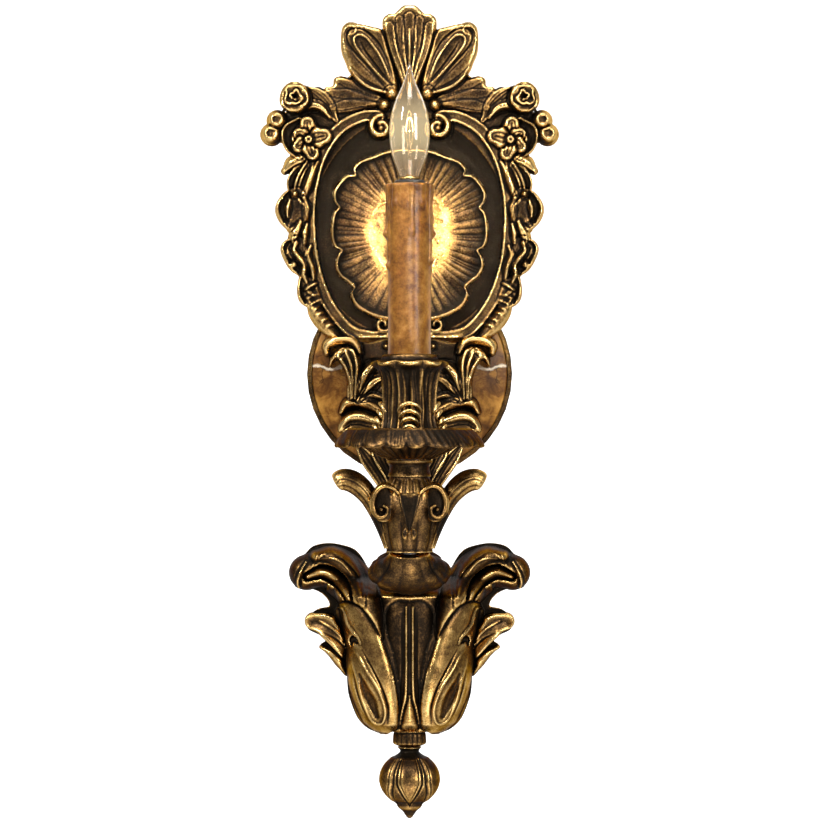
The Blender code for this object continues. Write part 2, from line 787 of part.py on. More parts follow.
def finial():
    """Turned ball drop, blind-tapped from above for the stud."""
    top = CALYX_BOTTOM - FINIAL_COLLAR_TALL - 2 * GAP
    tip = top - FINIAL_TALL
    middle = tip + 8 + FINIAL_R * 0.86
    outline = [(0, tip), (1.2, tip + 0.3), (4.4, tip + 4), (6.6, tip + 7)]
    for degrees in range(-60, 61, 15):
        a = math.radians(degrees)
        outline.append((FINIAL_R * math.cos(a), middle + FINIAL_R * 0.86 * math.sin(a)))
    neck, bore = FINIAL_NECK_R, STUD_R + GAP
    outline += [(neck + 1, middle + FINIAL_R * 0.86 + 1), (neck, top - 3), (neck + 2, top)]
    outline += [(bore, top), (bore, top - 13), (0, top - 13)]
    return turned("finial", outline, "gilt_brass", at=(0, -FINIAL_OUT, 0))


# ---------------------------------------------------------------- column


def pipe_line():
    """The threaded pipe's middle line, as (out, z) points: forward from the spine, a bend, and up."""
    bend = arc((COLUMN_OUT - PIPE_BEND, ARM_Z + PIPE_BEND), PIPE_BEND, -90, 0, 6)
    riser = [(COLUMN_OUT, -60), (COLUMN_OUT, PIPE_TOP)]
    return [(ARM_ROOT_OUT, ARM_Z), (48, ARM_Z), (65, ARM_Z), *bend, *riser]


def arm_pipe():
    path = [(0, -o, z) for o, z in pipe_line()]
    return swept("arm_pipe", path, [(PIPE_R, PIPE_R)] * len(path), (1, 0, 0), "zinc_steel", PIPE_BORE, 16)


# Half width and half depth of the arm casting, from its foot to the neck
ARM_SIZES = [
    (11.5, 13.2),
    (10, 9),
    (12, 9.5),
    (20, 12),
    (23.4, 12.6),
    (24.6, 13),
    (24.6, 13.6),
    (23, 14.2),
    (19, 14.4),
    (15, 14.2),
    (14.2, 14.2),
]


def arm_casting():
    """Leaf-wrapped elbow that holds the pipe, from a foot on the spine to the neck."""
    line = [(SPINE_FRONT + GAP, ARM_Z), *pipe_line()[1:10], (COLUMN_OUT, NECK_BOTTOM - GAP)]
    path = [(0, -o, z) for o, z in line]
    casting = swept("arm_casting", path, ARM_SIZES, (1, 0, 0), "gilt_brass", PIPE_R + 0.4)
    cut(casting, box("wire_slot", (-3.4, SPINE_FRONT - 1, ARM_Z), (3.4, SPINE_FRONT + 9, ARM_Z + 20)))
    return cut(casting, screw_hole(SPINE_SCREWS["arm_screw"], ARM_TIP))


def urn():
    """Vase with a volute pair in front and behind and a curled leaf at each side."""
    bore = PIPE_R + 0.4
    low, top = NECK_BOTTOM, URN_TOP
    outline = [
        (bore, low),
        (NECK_R - 0.4, low),
        (NECK_R + 0.2, low + 3),
        (NECK_R + 2.2, low + 12),
        (URN_R - 0.4, low + 19),
        (URN_R, low + 27),
        (URN_R - 1.6, low + 34),
        (COLLAR_R + 1, low + 40),
        (COLLAR_R, top - 0.6),
        (COLLAR_R - 0.6, top),
        (bore, top),
    ]
    vase = turned("urn", outline, "aged_brass", at=(0, -COLUMN_OUT, 0))
    for sign in (-1, 1):
        for facing in (-1, 1):
            out = COLUMN_OUT + facing * 11.5
            fuse(vase, dome("volute", sign * 15.8, -80, out, 8, 10, 5.5, sign * 12))
        line = smooth_line([(12, 0, -98), (21, 0, -88), (32, 0, -74), (40, 0, -66), (44.4, 0, -65)], 2)
        sizes = [(7.5 - 2.2 * k / 8, 4.6 - 0.6 * abs(k - 5) / 5) for k in range(9)]
        path = [(sign * p.x, -COLUMN_OUT, p.z) for p in line]
        fuse(vase, swept("leaf", path, sizes, (0, 1, 0), sides=12))
    return cut(vase, rod("bore", bore, low - 5, top + 5, at=(0, -COLUMN_OUT, 0)))


def pan_collar():
    bore = PIPE_R + 0.4
    low, top = URN_TOP + GAP, COLLAR_TOP
    outline = [
        (bore, low),
        (COLLAR_R, low),
        (COLLAR_R, top - 1.6),
        (COLLAR_R + 1, top - 0.8),
        (COLLAR_R, top),
        (bore, top),
    ]
    return turned("pan_collar", outline, "aged_brass", at=(0, -COLUMN_OUT, 0))


def drip_pan():
    """Round pan under the cup, with a crest and drooping petals."""
    bore = PIPE_R + 0.4
    foot = COLLAR_TOP + GAP

    def outline(angle):
        petal = 1.4 * abs(math.sin(PAN_PETALS * angle / 2))
        tip = PAN_R - 1.4 + petal
        return [
            (bore, foot),
            (COLLAR_R, foot),
            (24, PAN_FLOOR - 3.2),
            (PAN_CREST_R - 3, PAN_CREST - 5),
            (PAN_CREST_R + 2, PAN_CREST - 3.5),
            (tip - 2.2, PAN_CREST - 9.5),
            (tip - 1.8, PAN_FLOOR - 0.4 - petal * 0.4),
            (tip, PAN_FLOOR + 0.4 - petal * 0.4),
            (tip - 0.4, PAN_CREST - 7.5),
            (PAN_CREST_R + 3, PAN_CREST - 1),
            (PAN_CREST_R, PAN_CREST),
            (PAN_CREST_R - 2.4, PAN_CREST - 1),
            (30.5, PAN_FLOOR + 0.6),
            (24, PAN_FLOOR - 0.6),
            (bore, PAN_FLOOR - 0.6),
        ]

    return turned("drip_pan", outline, "aged_brass", PAN_PETALS * 3, at=(0, -COLUMN_OUT, 0))


def candle_cup():
    """Leaf-wrapped cup, with a recess that seats the sleeve and a pocket for the locknut."""
    bore = PIPE_R + 0.4
    low = PAN_FLOOR - 0.6 + GAP
    floor = CUP_TOP - CUP_RECESS
    pocket = NUT_ACROSS / 2 / math.cos(math.pi / 6) + 0.7

    def outline(angle):
        leaf = max(0.0, math.cos(4 * angle)) ** 2
        tip = CUP_RIM_R + 6.6 * leaf
        return [
            (bore, low),
            (9, low),
            (9.5, low + 4),
            (CUP_BASE_R, low + 9.5),
            (CUP_BASE_R - 0.5, low + 13),
            (CUP_WAIST_R, low + 24),
            (CUP_WAIST_R, low + 38),
            (CUP_RIM_R - 0.4, low + 44),
            (tip - 1.4, CUP_TOP - 6.4),
            (tip, CUP_TOP - 4.4),
            (CUP_RIM_R, CUP_TOP - 1.6),
            (CUP_RIM_R - 0.6, CUP_TOP),
            (SLEEVE_R + 0.4, CUP_TOP),
            (SLEEVE_R + 0.4, floor),
            (pocket, floor),
            (pocket, floor - NUT_THICK - 0.6),
            (bore, floor - NUT_THICK - 0.6),
        ]

    return turned("candle_cup", outline, "aged_brass", 32, at=(0, -COLUMN_OUT, 0))


def cup_nut():
    low = CUP_TOP - CUP_RECESS - NUT_THICK - 0.6 + GAP
    outline = nut_outline(low, low + NUT_THICK - 0.3, PIPE_R + GAP)
    return turned("cup_nut", outline, "zinc_steel", at=(0, -COLUMN_OUT, 0))


# ---------------------------------------------------------------- candle, socket and bulb


def socket_riser():
    """Tube that stands on the pipe and brings the socket up to the sleeve's top."""
    low = PIPE_TOP - RISER_OVERLAP
    at = (0, -COLUMN_OUT, 0)
    return tube("socket_riser", RISER_R, PIPE_R + GAP, low, SOCKET_BOTTOM - GAP, "zinc_steel", 20, at=at)


def socket_body():
    """Moulded socket: a cup with a floor that the wires come through."""
    floor = SOCKET_BOTTOM + SOCKET_FLOOR
    outline = [
        (2.6, SOCKET_BOTTOM),
        (SOCKET_R, SOCKET_BOTTOM),
        (SOCKET_R, SOCKET_TOP - 0.6),
        (SOCKET_R - 0.6, SOCKET_TOP),
        (SOCKET_BORE, SOCKET_TOP),
        (SOCKET_BORE, floor),
        (2.6, floor),
    ]
    return turned("socket_body", outline, "phenolic", 24, at=(0, -COLUMN_OUT, 0))


def socket_shell():
    outer = SOCKET_BORE - GAP
    low = SOCKET_BOTTOM + SOCKET_FLOOR + 8
    at = (0, -COLUMN_OUT, 0)
    return tube("socket_shell", outer, outer - SHELL_WALL, low, SOCKET_TOP - 1.5, "bright_brass", 24, at=at)


def socket_contact():
    """Spring tongue at the socket's floor, that the bulb's tip presses on."""
    low = SOCKET_BOTTOM + SOCKET_FLOOR + GAP
    high = BULB_TIP_BOTTOM - GAP
    tongue = [(0, low), (3.6, low), (3.6, low + 0.6), (0.9, low + 0.8), (1.1, high - 0.5), (0, high)]
    return turned("socket_contact", tongue, "bright_brass", 16, at=(0, -COLUMN_OUT, 0))


def paper_liner():
    at = (0, -COLUMN_OUT, 0)
    inner = LINER_R - LINER_WALL
    return tube("paper_liner", LINER_R, inner, SLEEVE_BOTTOM, SLEEVE_TOP - 2, "card", at=at)


def candle_sleeve():
    outline = [
        (SLEEVE_BORE, SLEEVE_BOTTOM),
        (SLEEVE_R, SLEEVE_BOTTOM),
        (SLEEVE_R, SLEEVE_TOP - 0.8),
        (SLEEVE_R - 0.8, SLEEVE_TOP),
        (SLEEVE_BORE, SLEEVE_TOP),
    ]
    return turned("candle_sleeve", outline, "candle_resin", 32, at=(0, -COLUMN_OUT, 0))


# Flame-tipped envelope: share of its height, share of its largest radius
FLAME = [
    (0.0, 0.5),
    (0.12, 0.76),
    (0.24, 0.93),
    (0.38, 1.0),
    (0.52, 0.95),
    (0.64, 0.78),
    (0.77, 0.44),
    (0.86, 0.22),
    (1.0, 0.06),
]


def bulb_glass():
    """Hollow flame-shaped envelope, open at its neck inside the base."""
    neck_r = BASE_R - BASE_WALL - GAP
    lining = neck_r - GLASS_WALL
    neck = [(lining, GLASS_BOTTOM - 6), (neck_r, GLASS_BOTTOM - 6), (neck_r, GLASS_BOTTOM - 0.2)]
    skin = [(GLASS_R * r, GLASS_BOTTOM + GLASS_TALL * h) for h, r in FLAME]
    lining = [(GLASS_R * r - GLASS_WALL, GLASS_BOTTOM + GLASS_TALL * h) for h, r in FLAME if h < 0.86]
    lining.append((0, GLASS_BOTTOM + GLASS_TALL * 0.87))
    lining.reverse()
    outline = [*neck, *skin, (0, GLASS_BOTTOM + GLASS_TALL), *lining, (neck_r - GLASS_WALL, GLASS_BOTTOM)]
    return turned("bulb_glass", outline, "clear_glass", 18, at=(0, -COLUMN_OUT, 0))


def bulb_stem():
    """Glass mount inside the bulb, that carries the filament."""
    low = GLASS_BOTTOM - 5
    outline = [
        (0, low),
        (2.6, low),
        (2.4, low + 8),
        (1.2, low + 14),
        (1.0, low + 24),
        (1.5, low + 25.5),
        (0, low + STEM_TALL),
    ]
    return turned("bulb_stem", outline, "clear_glass", 16, at=(0, -COLUMN_OUT, 0))


def bulb_filament():
    """The lit coil above the stem, as one plain body of its outer shape."""
    low = GLASS_BOTTOM - 5 + STEM_TALL + GAP
    outline = [(0, low), (1.4, low + 1.5), (2.2, low + 7), (1.4, low + 12.5), (0, low + 14)]
    return turned("bulb_filament", outline, "tungsten", 12, at=(0, -COLUMN_OUT, 0))


def bulb_base():
    """Screw shell of the bulb: open at the top for the glass, with a lip that rests above the socket."""
    top = GLASS_BOTTOM - GAP - 0.2
    low = BULB_TIP_BOTTOM + 4
    outline = [
        (BASE_R - 1.6, low),
        (BASE_R, low + 1.6),
        (BASE_R, top - 1.4),
        (BASE_R + 0.4, top - 0.8),
        (BASE_R + 0.2, top),
        (BASE_R - BASE_WALL, top),
        (BASE_R - BASE_WALL, low + 1.8),
        (BASE_R - 2.2, low + 0.2),
    ]
    return turned("bulb_base", outline, "bright_brass", 24, at=(0, -COLUMN_OUT, 0))


def bulb_insulator():
    low = BULB_TIP_BOTTOM + 1.6
    outline = [(0, low), (2.4, low), (3.5, low + 2), (3.3, low + 3.6), (0, low + 3.6)]
    return turned("bulb_insulator", outline, "phenolic", 16, at=(0, -COLUMN_OUT, 0))


def bulb_tip():
    low = BULB_TIP_BOTTOM
    outline = [(0, low), (1.4, low + 0.3), (2, low + 1.3), (0, low + 1.3)]
    return turned("bulb_tip", outline, "zinc_steel", 16, at=(0, -COLUMN_OUT, 0))


# ---------------------------------------------------------------- wiring


def wire(name, route, slot, radius=WIRE_R):
    """A round wire on a smooth line through route, as (x, out, z) points."""
    curve = bpy.data.curves.new(name, "CURVE")
    curve.dimensions = "3D"
    curve.bevel_depth = radius * MM
    curve.bevel_resolution = 2
    curve.use_fill_caps = True
    points = [(x * MM, -o * MM, z * MM) for x, o, z in smooth_line(route, 2)]
    spline = curve.splines.new("POLY")
    spline.points.add(len(points) - 1)
    for spot, point in zip(spline.points, points, strict=True):
        spot.co = (*point, 1.0)
    obj = bpy.data.objects.new(name, curve)
    bpy.context.scene.collection.objects.link(obj)
    curve.materials.append(material(slot))
    return obj


def lead_route(x, turn):
    """A socket lead: down the pipe, back along the arm, up the stem's channel and into the canopy."""
    spread = 9.5 * turn
    return [
        (x, COLUMN_OUT, SOCKET_BOTTOM - 3),
        (x, COLUMN_OUT, 30),
        (x, COLUMN_OUT, -30),
        (x, COLUMN_OUT, -90),
        (x, COLUMN_OUT - 0.6, ARM_Z + PIPE_BEND + 3),
        (x, COLUMN_OUT - 3.5, ARM_Z + 3.6),
        (x, COLUMN_OUT - PIPE_BEND - 3, ARM_Z + 0.4),
        (x, 70, ARM_Z),
        (x, 45, ARM_Z),
        (x, 33, ARM_Z + 0.2),
        (x, 28, ARM_Z + 2.6),
        (x, 25.9, ARM_Z + 9),
        (x, 25.8, ARM_Z + 18),
        (x, 25.8, -80),
        (x, 25.6, WIRE_HOLE_Z - 6),
        (x, 23, WIRE_HOLE_Z - 0.6),
        (x, 17, WIRE_HOLE_Z),
        (x, 12, WIRE_HOLE_Z + 0.2),
        (x + spread * 0.2, 8.4, WIRE_HOLE_Z + 3.5),
        (x + spread * 0.6, 7.8, WIRE_HOLE_Z + 9),
        (x + spread * 1.5, 7.5, WIRE_HOLE_Z + 18),
        (WIRE_NUT_X * turn, 7.5, WIRE_NUT_Z - 7),
        (WIRE_NUT_X * turn, 7.5, WIRE_NUT_Z - 1.2),
    ]


def wire_nut(name, sign, slot):
    """Twist-on connector over a lead's end, open below."""
    low = WIRE_NUT_Z - 4
    outline = [
        (2.2, low),
        (4.6, low),
        (4.2, low + 6),
        (3.0, low + 14),
        (2.2, low + 15),
        (0, low + 15),
        (0, low + 8),
        (1.6, low + 8),
    ]
    return turned(name, outline, slot, 18, at=(sign * WIRE_NUT_X, -7.5, 0))


def wire_bushing():
    """Plastic sleeve that lines the wires' hole through the canopy's web and the marble."""
    low, high = CANOPY_WEB_OUT - 2, MARBLE_BACK + MARBLE_THICK
    outer = WIRE_HOLE_R - GAP
    at = (0, 0, WIRE_HOLE_Z)
    return tube("wire_bushing", outer, outer - 1.0, low, high, "phenolic", 20, "Y", at)


def ground_wire():
    route = [
        (5.5, 3.4, GROUND_Z),
        (11, 5, GROUND_Z + 3),
        (17, 6.5, GROUND_Z + 10),
        (20, 7, GROUND_Z + 20),
        (18, 6, GROUND_Z + 30),
        (11, 4, GROUND_Z + 36),
    ]
    return wire("ground_wire", route, "wire_green", 0.8)


# ---------------------------------------------------------------- places that several pieces share

GROUND_Z = 16.0
WIRE_NUT_X = 30.0
WIRE_NUT_Z = 4.0
BRACKET_FRONT = PLATE_FRONT + 2.0
NIPPLE_FRONT = BRACKET_FRONT + NUT_THICK + 1.0
GLASS_BOTTOM = SOCKET_TOP + 2.1
BULB_TIP_BOTTOM = GLASS_BOTTOM - BASE_TALL - 4.0
SPINE_SCREWS = {
    "cartouche_screw": CANOPY_R + 9.5,
    "dish_screw": FRAME_Z,
    "arm_screw": ARM_Z - 9.2,
    "calyx_screw": -148.0,
}
CARTOUCHE_TIP = PLATE_FRONT - 1.4
DISH_BOSS = 4.6
DISH_TIP = PLATE_FRONT + GAP + DISH_BOSS - 1.4
ARM_TIP = SPINE_FRONT + 8.0
CALYX_TIP = SPINE_FRONT + 4.6
CALYX_STRAP = 41.5  # half width of the strap cast across the calyx's back


def build():
    for obj in list(bpy.data.objects):
        bpy.data.objects.remove(obj)
    mounting_strap()
    canopy_pan()
    marble_disc()
    thumb_screw("thumb_screw_top", 1)
    thumb_screw("thumb_screw_bottom", -1)
    ground_screw()
    centre_nipple()
    back_nut()
    cap_nut()
    spine_bar()
    tips = {
        "cartouche_screw": CARTOUCHE_TIP,
        "dish_screw": DISH_TIP,
        "arm_screw": ARM_TIP,
        "calyx_screw": CALYX_TIP,
    }
    for name, z in SPINE_SCREWS.items():
        spine_screw(name, z, tips[name])
    cartouche()
    medallion_dish()
    scroll_bracket()
    calyx()
    finial_stud()
    finial_nut()
    finial_collar()
    finial()
    arm_pipe()
    arm_casting()
    urn()
    pan_collar()
    drip_pan()
    candle_cup()
    cup_nut()
    socket_riser()
    socket_body()
    socket_shell()
    socket_contact()
    paper_liner()
    candle_sleeve()
    bulb_glass()
    bulb_stem()
    bulb_filament()
    bulb_base()
    bulb_insulator()
    bulb_tip()
    wire("lead_black", lead_route(-WIRE_APART, -1), "wire_black")
    wire("lead_white", lead_route(WIRE_APART, 1), "wire_white")
    wire_nut("wire_nut_left", -1, "nut_orange")
    wire_nut("wire_nut_right", 1, "nut_orange")
    wire_bushing()
    ground_wire()


build()
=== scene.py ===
"""The looks of the wall sconce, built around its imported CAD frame.

Shapes here are in millimetres in the row's frame: x to the right, z up, and `out` in front of the wall, so
y = -out. The castings are mirrored left and right, so a route is drawn for the right half only.
"""

import json
import math

import bmesh
import bpy
import numpy as np
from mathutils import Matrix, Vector


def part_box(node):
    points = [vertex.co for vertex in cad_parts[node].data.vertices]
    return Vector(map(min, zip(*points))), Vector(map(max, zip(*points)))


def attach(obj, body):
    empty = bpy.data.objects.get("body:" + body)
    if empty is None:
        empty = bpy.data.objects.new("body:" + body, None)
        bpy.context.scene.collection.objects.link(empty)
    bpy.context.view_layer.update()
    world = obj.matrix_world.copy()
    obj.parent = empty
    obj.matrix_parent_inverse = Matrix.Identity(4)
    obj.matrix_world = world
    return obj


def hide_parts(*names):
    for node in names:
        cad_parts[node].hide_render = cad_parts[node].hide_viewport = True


MM = 0.001

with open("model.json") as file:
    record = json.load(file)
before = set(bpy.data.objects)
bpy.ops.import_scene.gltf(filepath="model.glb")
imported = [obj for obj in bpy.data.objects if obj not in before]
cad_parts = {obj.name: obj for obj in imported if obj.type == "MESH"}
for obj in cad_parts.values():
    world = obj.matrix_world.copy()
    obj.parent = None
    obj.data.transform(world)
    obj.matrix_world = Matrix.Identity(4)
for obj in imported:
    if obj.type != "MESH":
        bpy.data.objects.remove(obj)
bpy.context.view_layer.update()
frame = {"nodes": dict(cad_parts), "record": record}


def box_mm(node):
    """A CAD node's box as (low, high) in x, out and z."""
    low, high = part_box(node)
    return np.array([low.x, -high.y, low.z]) / MM, np.array([high.x, -low.y, high.z]) / MM


def heights_of(node):
    """The bottom and top of a CAD node."""
    return [corner[2] for corner in box_mm(node)]


# ---------------------------------------------------------------- places, read from the frame

SLEEVE_LOW, SLEEVE_HIGH = box_mm("candle_sleeve")
COLUMN_OUT = (SLEEVE_LOW[1] + SLEEVE_HIGH[1]) / 2
FINIAL_LOW, FINIAL_HIGH = box_mm("finial")
DISH_LOW, DISH_HIGH = box_mm("medallion_dish")
FINIAL_OUT = (FINIAL_LOW[1] + FINIAL_HIGH[1]) / 2
SPINE_LOW, SPINE_HIGH = box_mm("spine_bar")
PLATE_BACK = SPINE_LOW[1]
RELIEF_BACK = SPINE_HIGH[1] + 0.4  # the upper casting's face starts in front of the steel bar
SEAM_Z = heights_of("cartouche")[0]
FRAME_Z = (DISH_LOW[2] + DISH_HIGH[2]) / 2
CALYX_BOTTOM = heights_of("calyx")[0]
CALYX_TOP = CALYX_BOTTOM + 85.0  # the mouth of the calyx's cup
SLOT_HALF = 8.6  # half the width of the slot that clears the steel bar
SLOT_DEEP = SPINE_HIGH[1] - PLATE_BACK + 0.5
STEM_DEEP = 10.4  # the wires' channel in the stem
PIPE_BORE = 5.4  # the hole in the column's castings
SLEEVE_R = 12.75
BULB_R = 12.0
FINIAL_R = 16.2  # half the height of the finial's ball
CAMERA_PLACE = (0.0015, -1.9, -0.0235)  # in metres, straight in front
CAMERA_LENS = 132.9


# ---------------------------------------------------------------- curves and sections


def spline(points, steps=6, closed=False):
    """Points on a Catmull-Rom curve through the given ones."""
    given = np.array(points, float)
    count = len(given)
    index = np.arange(count if closed else count - 1)
    pick = (lambda k: given[(index + k) % count]) if closed else (lambda k: given[np.clip(index + k, 0,
            count - 1)])
    p0, p1, p2, p3 = (pick(k)[:, None] for k in (-1, 0, 1, 2))
    t = (np.arange(steps) / steps)[None, :, None]
    square = 2 * p0 - 5 * p1 + 4 * p2 - p3
    cube = 3 * p1 - p0 - 3 * p2 + p3
    found = 2 * p1 + (p2 - p0) * t + square * t**2 + cube * t**3
    found = (found / 2).reshape(-1, given.shape[1])
    return found if closed else np.vstack([found, given[-1]])


def sampled(values, share):
    """Smooth values along a share from 0 to 1, given at even steps."""
    if np.isscalar(values):
        return np.full(np.shape(share), float(values))
    line = spline(np.array(values, float)[:, None], 8)[:, 0]
    return np.interp(share, np.linspace(0, 1, len(line)), line)


def volute(x, z, start, end, first, last):
    """A spiral route about (x, z), from one radius to another and from one angle to another, in degrees."""
    share = np.linspace(0, 1, 36)
    angle = np.radians(first + (last - first) * share)
    radius = start * (end / start) ** share
    return np.stack([x + radius * np.cos(angle), z + radius * np.sin(angle)], 1)


def bump(value, centre, width):
    """A smooth rise to 1 at the centre."""
    return np.exp(-(((value - centre) / width) ** 2))


def ramp(value, low, high):
    """A smooth step from 0 at low to 1 at high."""
    share = np.clip((value - low) / (high - low), 0, 1)
    return share * share * (3 - 2 * share)


def both_halves(half):
    """A closed outline from its right half, from top to bottom."""
    return [tuple(p) for p in half] + [(-x, z) for x, z in half[::-1] if x > 0.01]


def lifted(profile, height):
    """A profile of (radius, height) points, moved up."""
    return [(radius, height + z) for radius, z in profile]


# ---------------------------------------------------------------- relief castings


class Relief:
    """A height map of half of a mirrored casting, with how deep each point is inside its outline."""

    def __init__(self, width, low, high, step, thick=2.0):
        self.step = step
        self.thick = thick
        self.x, self.z = np.meshgrid(np.arange(0, width + step, step), np.arange(low, high + step, step))
        self.ground = np.zeros_like(self.x)
        self.height = np.zeros_like(self.x)
        self.inside = np.full_like(self.x, -50.0)
        self.tone = np.zeros_like(self.x)  # how much brighter or darker the surface is painted: patina, and in places painted shade

    def near(self, path, reach):
        """The window around a path, and there the signed distance from it and the share along it."""
        low, high = path.min(0) - reach, path.max(0) + reach
        cols = np.searchsorted(self.x[0], [low[0], high[0]])
        rows = np.searchsorted(self.z[:, 0], [low[1], high[1]])
        view = np.s_[rows[0] : rows[1], cols[0] : cols[1]]
        x, z = self.x[view], self.z[view]
        best = np.full(x.shape, 1e9)
        along = np.zeros_like(x)
        side = np.ones_like(x)
        lengths = np.concatenate([[0], np.cumsum(np.linalg.norm(np.diff(path, axis=0), axis=1))])
        for k, (a, b) in enumerate(zip(path, path[1:])):
            run = b - a
            size = run @ run
            if size < 1e-9:
                continue
            share = np.clip(((x - a[0]) * run[0] + (z - a[1]) * run[1]) / size, 0, 1)
            dx, dz = x - a[0] - share * run[0], z - a[1] - share * run[1]
            gap = dx * dx + dz * dz
            hit = gap < best
            best = np.where(hit, gap, best)
            along = np.where(hit, lengths[k] + share * (lengths[k + 1] - lengths[k]), along)
            side = np.where(hit, np.where(run[0] * dz > run[1] * dx, 1.0, -1.0), side)
        return view, np.sqrt(best) * side, along / lengths[-1]

    def lay(self, view, top, inside, moat=0.0, cover=False, tone=0.0):
        """Lays a shape over what is there, with a dark line sunk around it."""
        height = self.height[view]
        if moat:
            height -= moat * np.exp(-((inside / 0.8) ** 2)) * (inside < 0)
        top = self.ground[view] + top
        shown = (inside > 0) & (cover | (top > height))
        height[:] = np.where(shown, top, height)
        self.tone[view] = np.where(shown, tone, self.tone[view])
        np.maximum(self.inside[view], inside, out=self.inside[view])

    def plate(self, outline, thick, tone=-0.1):
        """A flat plate inside a closed outline."""
        path = np.vstack([spline(outline, 5, closed=True), outline[:1]])
        view, inside = self.within(path)
        self.lay(view, thick, inside, tone=tone)

    def within(self, path):
        """The window around a closed path, and there the depth inside it."""
        view, gap, _ = self.near(path, 3)
        x, z = self.x[view], self.z[view]
        odd = np.zeros(x.shape, bool)
        for a, b in zip(path, path[1:]):
            if a[1] != b[1]:
                crosses = (a[1] > z) != (b[1] > z)
                odd ^= crosses & (x < a[0] + (z - a[1]) * (b[0] - a[0]) / (b[1] - a[1]))
        return view, np.where(odd, np.abs(gap), -np.abs(gap))

    def pillow(self, outline, height, soft, base, moat=1.2, cover=False, tone=0.0):
        """A closed shape that swells to its full height a little inside its outline."""
        path = np.vstack([spline(outline, 5, closed=True), outline[:1]])
        view, inside = self.within(path)
        share = np.clip(inside / soft, 0, 1)
        self.lay(view, base + height * (1 - (1 - share) ** 2) ** 0.5, inside, moat, cover, tone)

    def leaf(self, route, widths, heights, cup=None, rim=0.0, ribs=0, depth=0.0, moat=1.2, crown=0.6,
             cover=False, tone=0.0):
        """A leaf along a route. cup hollows its face, rim raises its edge and ribs flute it."""
        path = spline(route, 6)
        view, across, along = self.near(path, np.max(widths) + 2)
        wide = np.maximum(sampled(widths, along), 0.05)
        inside = wide - np.abs(across)
        share = np.clip(np.abs(across) / wide, 0, 1)
        if cup is None:
            section = (1 - share**2) ** crown
        else:
            section = (1 - cup * (1 - share**2)) * (1 - share**8) ** 0.5
        top = sampled(heights, along) * section
        top += rim * np.exp(-(((inside - 0.9) / 0.55) ** 2))
        if ribs:
            fade = np.clip(inside / 1.2, 0, 1)
            top -= depth * fade * (0.5 + 0.5 * np.cos(np.pi * ribs * across / wide))
        self.lay(view, top, inside, moat, cover, tone)

    def line(self, route, width, height):
        """A raised bead along a route, on top of what is there, or a groove where height is negative."""
        path = spline(route, 6)
        view, across, along = self.near(path, np.max(width) * 2 + 1)
        wide = sampled(width, along)
        share = np.abs(across) / wide
        self.height[view] += sampled(height, along) * np.exp(-((share * 1.3) ** 4))

    def ball(self, x, z, radius, height, moat=1.2, tone=0.0):
        """A round boss."""
        view, gap, _ = self.near(np.array([[x - 0.01, z], [x + 0.01, z]]), radius + 2)
        share = np.clip(np.abs(gap) / radius, 0, 1)
        self.lay(view, height * (1 - share**2) ** 0.5, radius - np.abs(gap), moat, tone=tone)

    def both(self):
        """Full-width copies of x, z, height, depth inside and tone."""
        layers = (self.x, self.z, self.height, self.inside, self.tone)
        halves = [np.hstack([half[:, :0:-1], half]) for half in layers]
        halves[0][:, : self.x.shape[1] - 1] *= -1
        return halves

    def solid(self, name, back, shell=None, floor=None):
        """The mesh: its face, edge walls, and a flat back or, with shell, an inside that follows the face.

        floor is a function of x and z that the inside stays in front of, such as over a channel.
        """
        x, z, height, inside, tone = self.both()
        soft = height.copy()
        around = height[:-2, 1:-1] + height[2:, 1:-1] + height[1:-1, :-2] + height[1:-1, 2:]
        soft[1:-1, 1:-1] = (4 * height[1:-1, 1:-1] + around) / 8
        height = np.maximum(soft, self.thick)
        # Painted shade: the face is darkened just inside its outline, where its edge drops to the wall.
        tone = tone - 0.42 * np.exp(-np.maximum(inside, 0) / 0.9)
        points, faces, rim, tone = outlined(x, z, height, inside, self.step, tone)
        points[:, 1] = -(back + points[:, 1])
        if shell is None:
            return toned(closed_back(name, points, faces, rim, back), tone)
        inner = points.copy()
        hollow = -(points[:, 1] + back) - shell
        least = floor(points[:, 0], points[:, 2]) if floor else 0.0
        inner[:, 1] = -(back + np.maximum(hollow, least))
        walls = np.stack([rim[:, 1], rim[:, 0], rim[:, 0] + len(points), rim[:, 1] + len(points)], 1)
        mesh = mesh_of(name, np.vstack([points, inner]), [faces, faces[:, ::-1] + len(points), walls])
        return toned(mesh, tone)

    def slab(self, name, back, thick, bar_top, every=3, inset=0.9):
        """A plain layer behind the relief, with a slot for the steel bar up to bar_top."""
        x, z, _, inside, _ = self.both()
        middle = x.shape[1] // 2
        cols = np.concatenate([np.arange(middle, -1, -every)[::-1],
                              np.arange(middle, x.shape[1], every)[1:]])
        pick = np.ix_(np.arange(0, x.shape[0], every), cols)
        x, z, inside = x[pick], z[pick], inside[pick] - inset
        inside = np.minimum(inside, np.maximum(np.abs(x) - SLOT_HALF, z - bar_top))
        points, faces, rim, _ = outlined(x, z, np.full_like(x, thick), inside, self.step * every, inside)
        points[:, 1] = -(back + points[:, 1])
        mesh = closed_back(name, points, faces, rim, back)
        # Painted shade: the layer tucked behind the relief is set dark all over.
        return toned(mesh, np.full(len(mesh.vertices), -0.75))


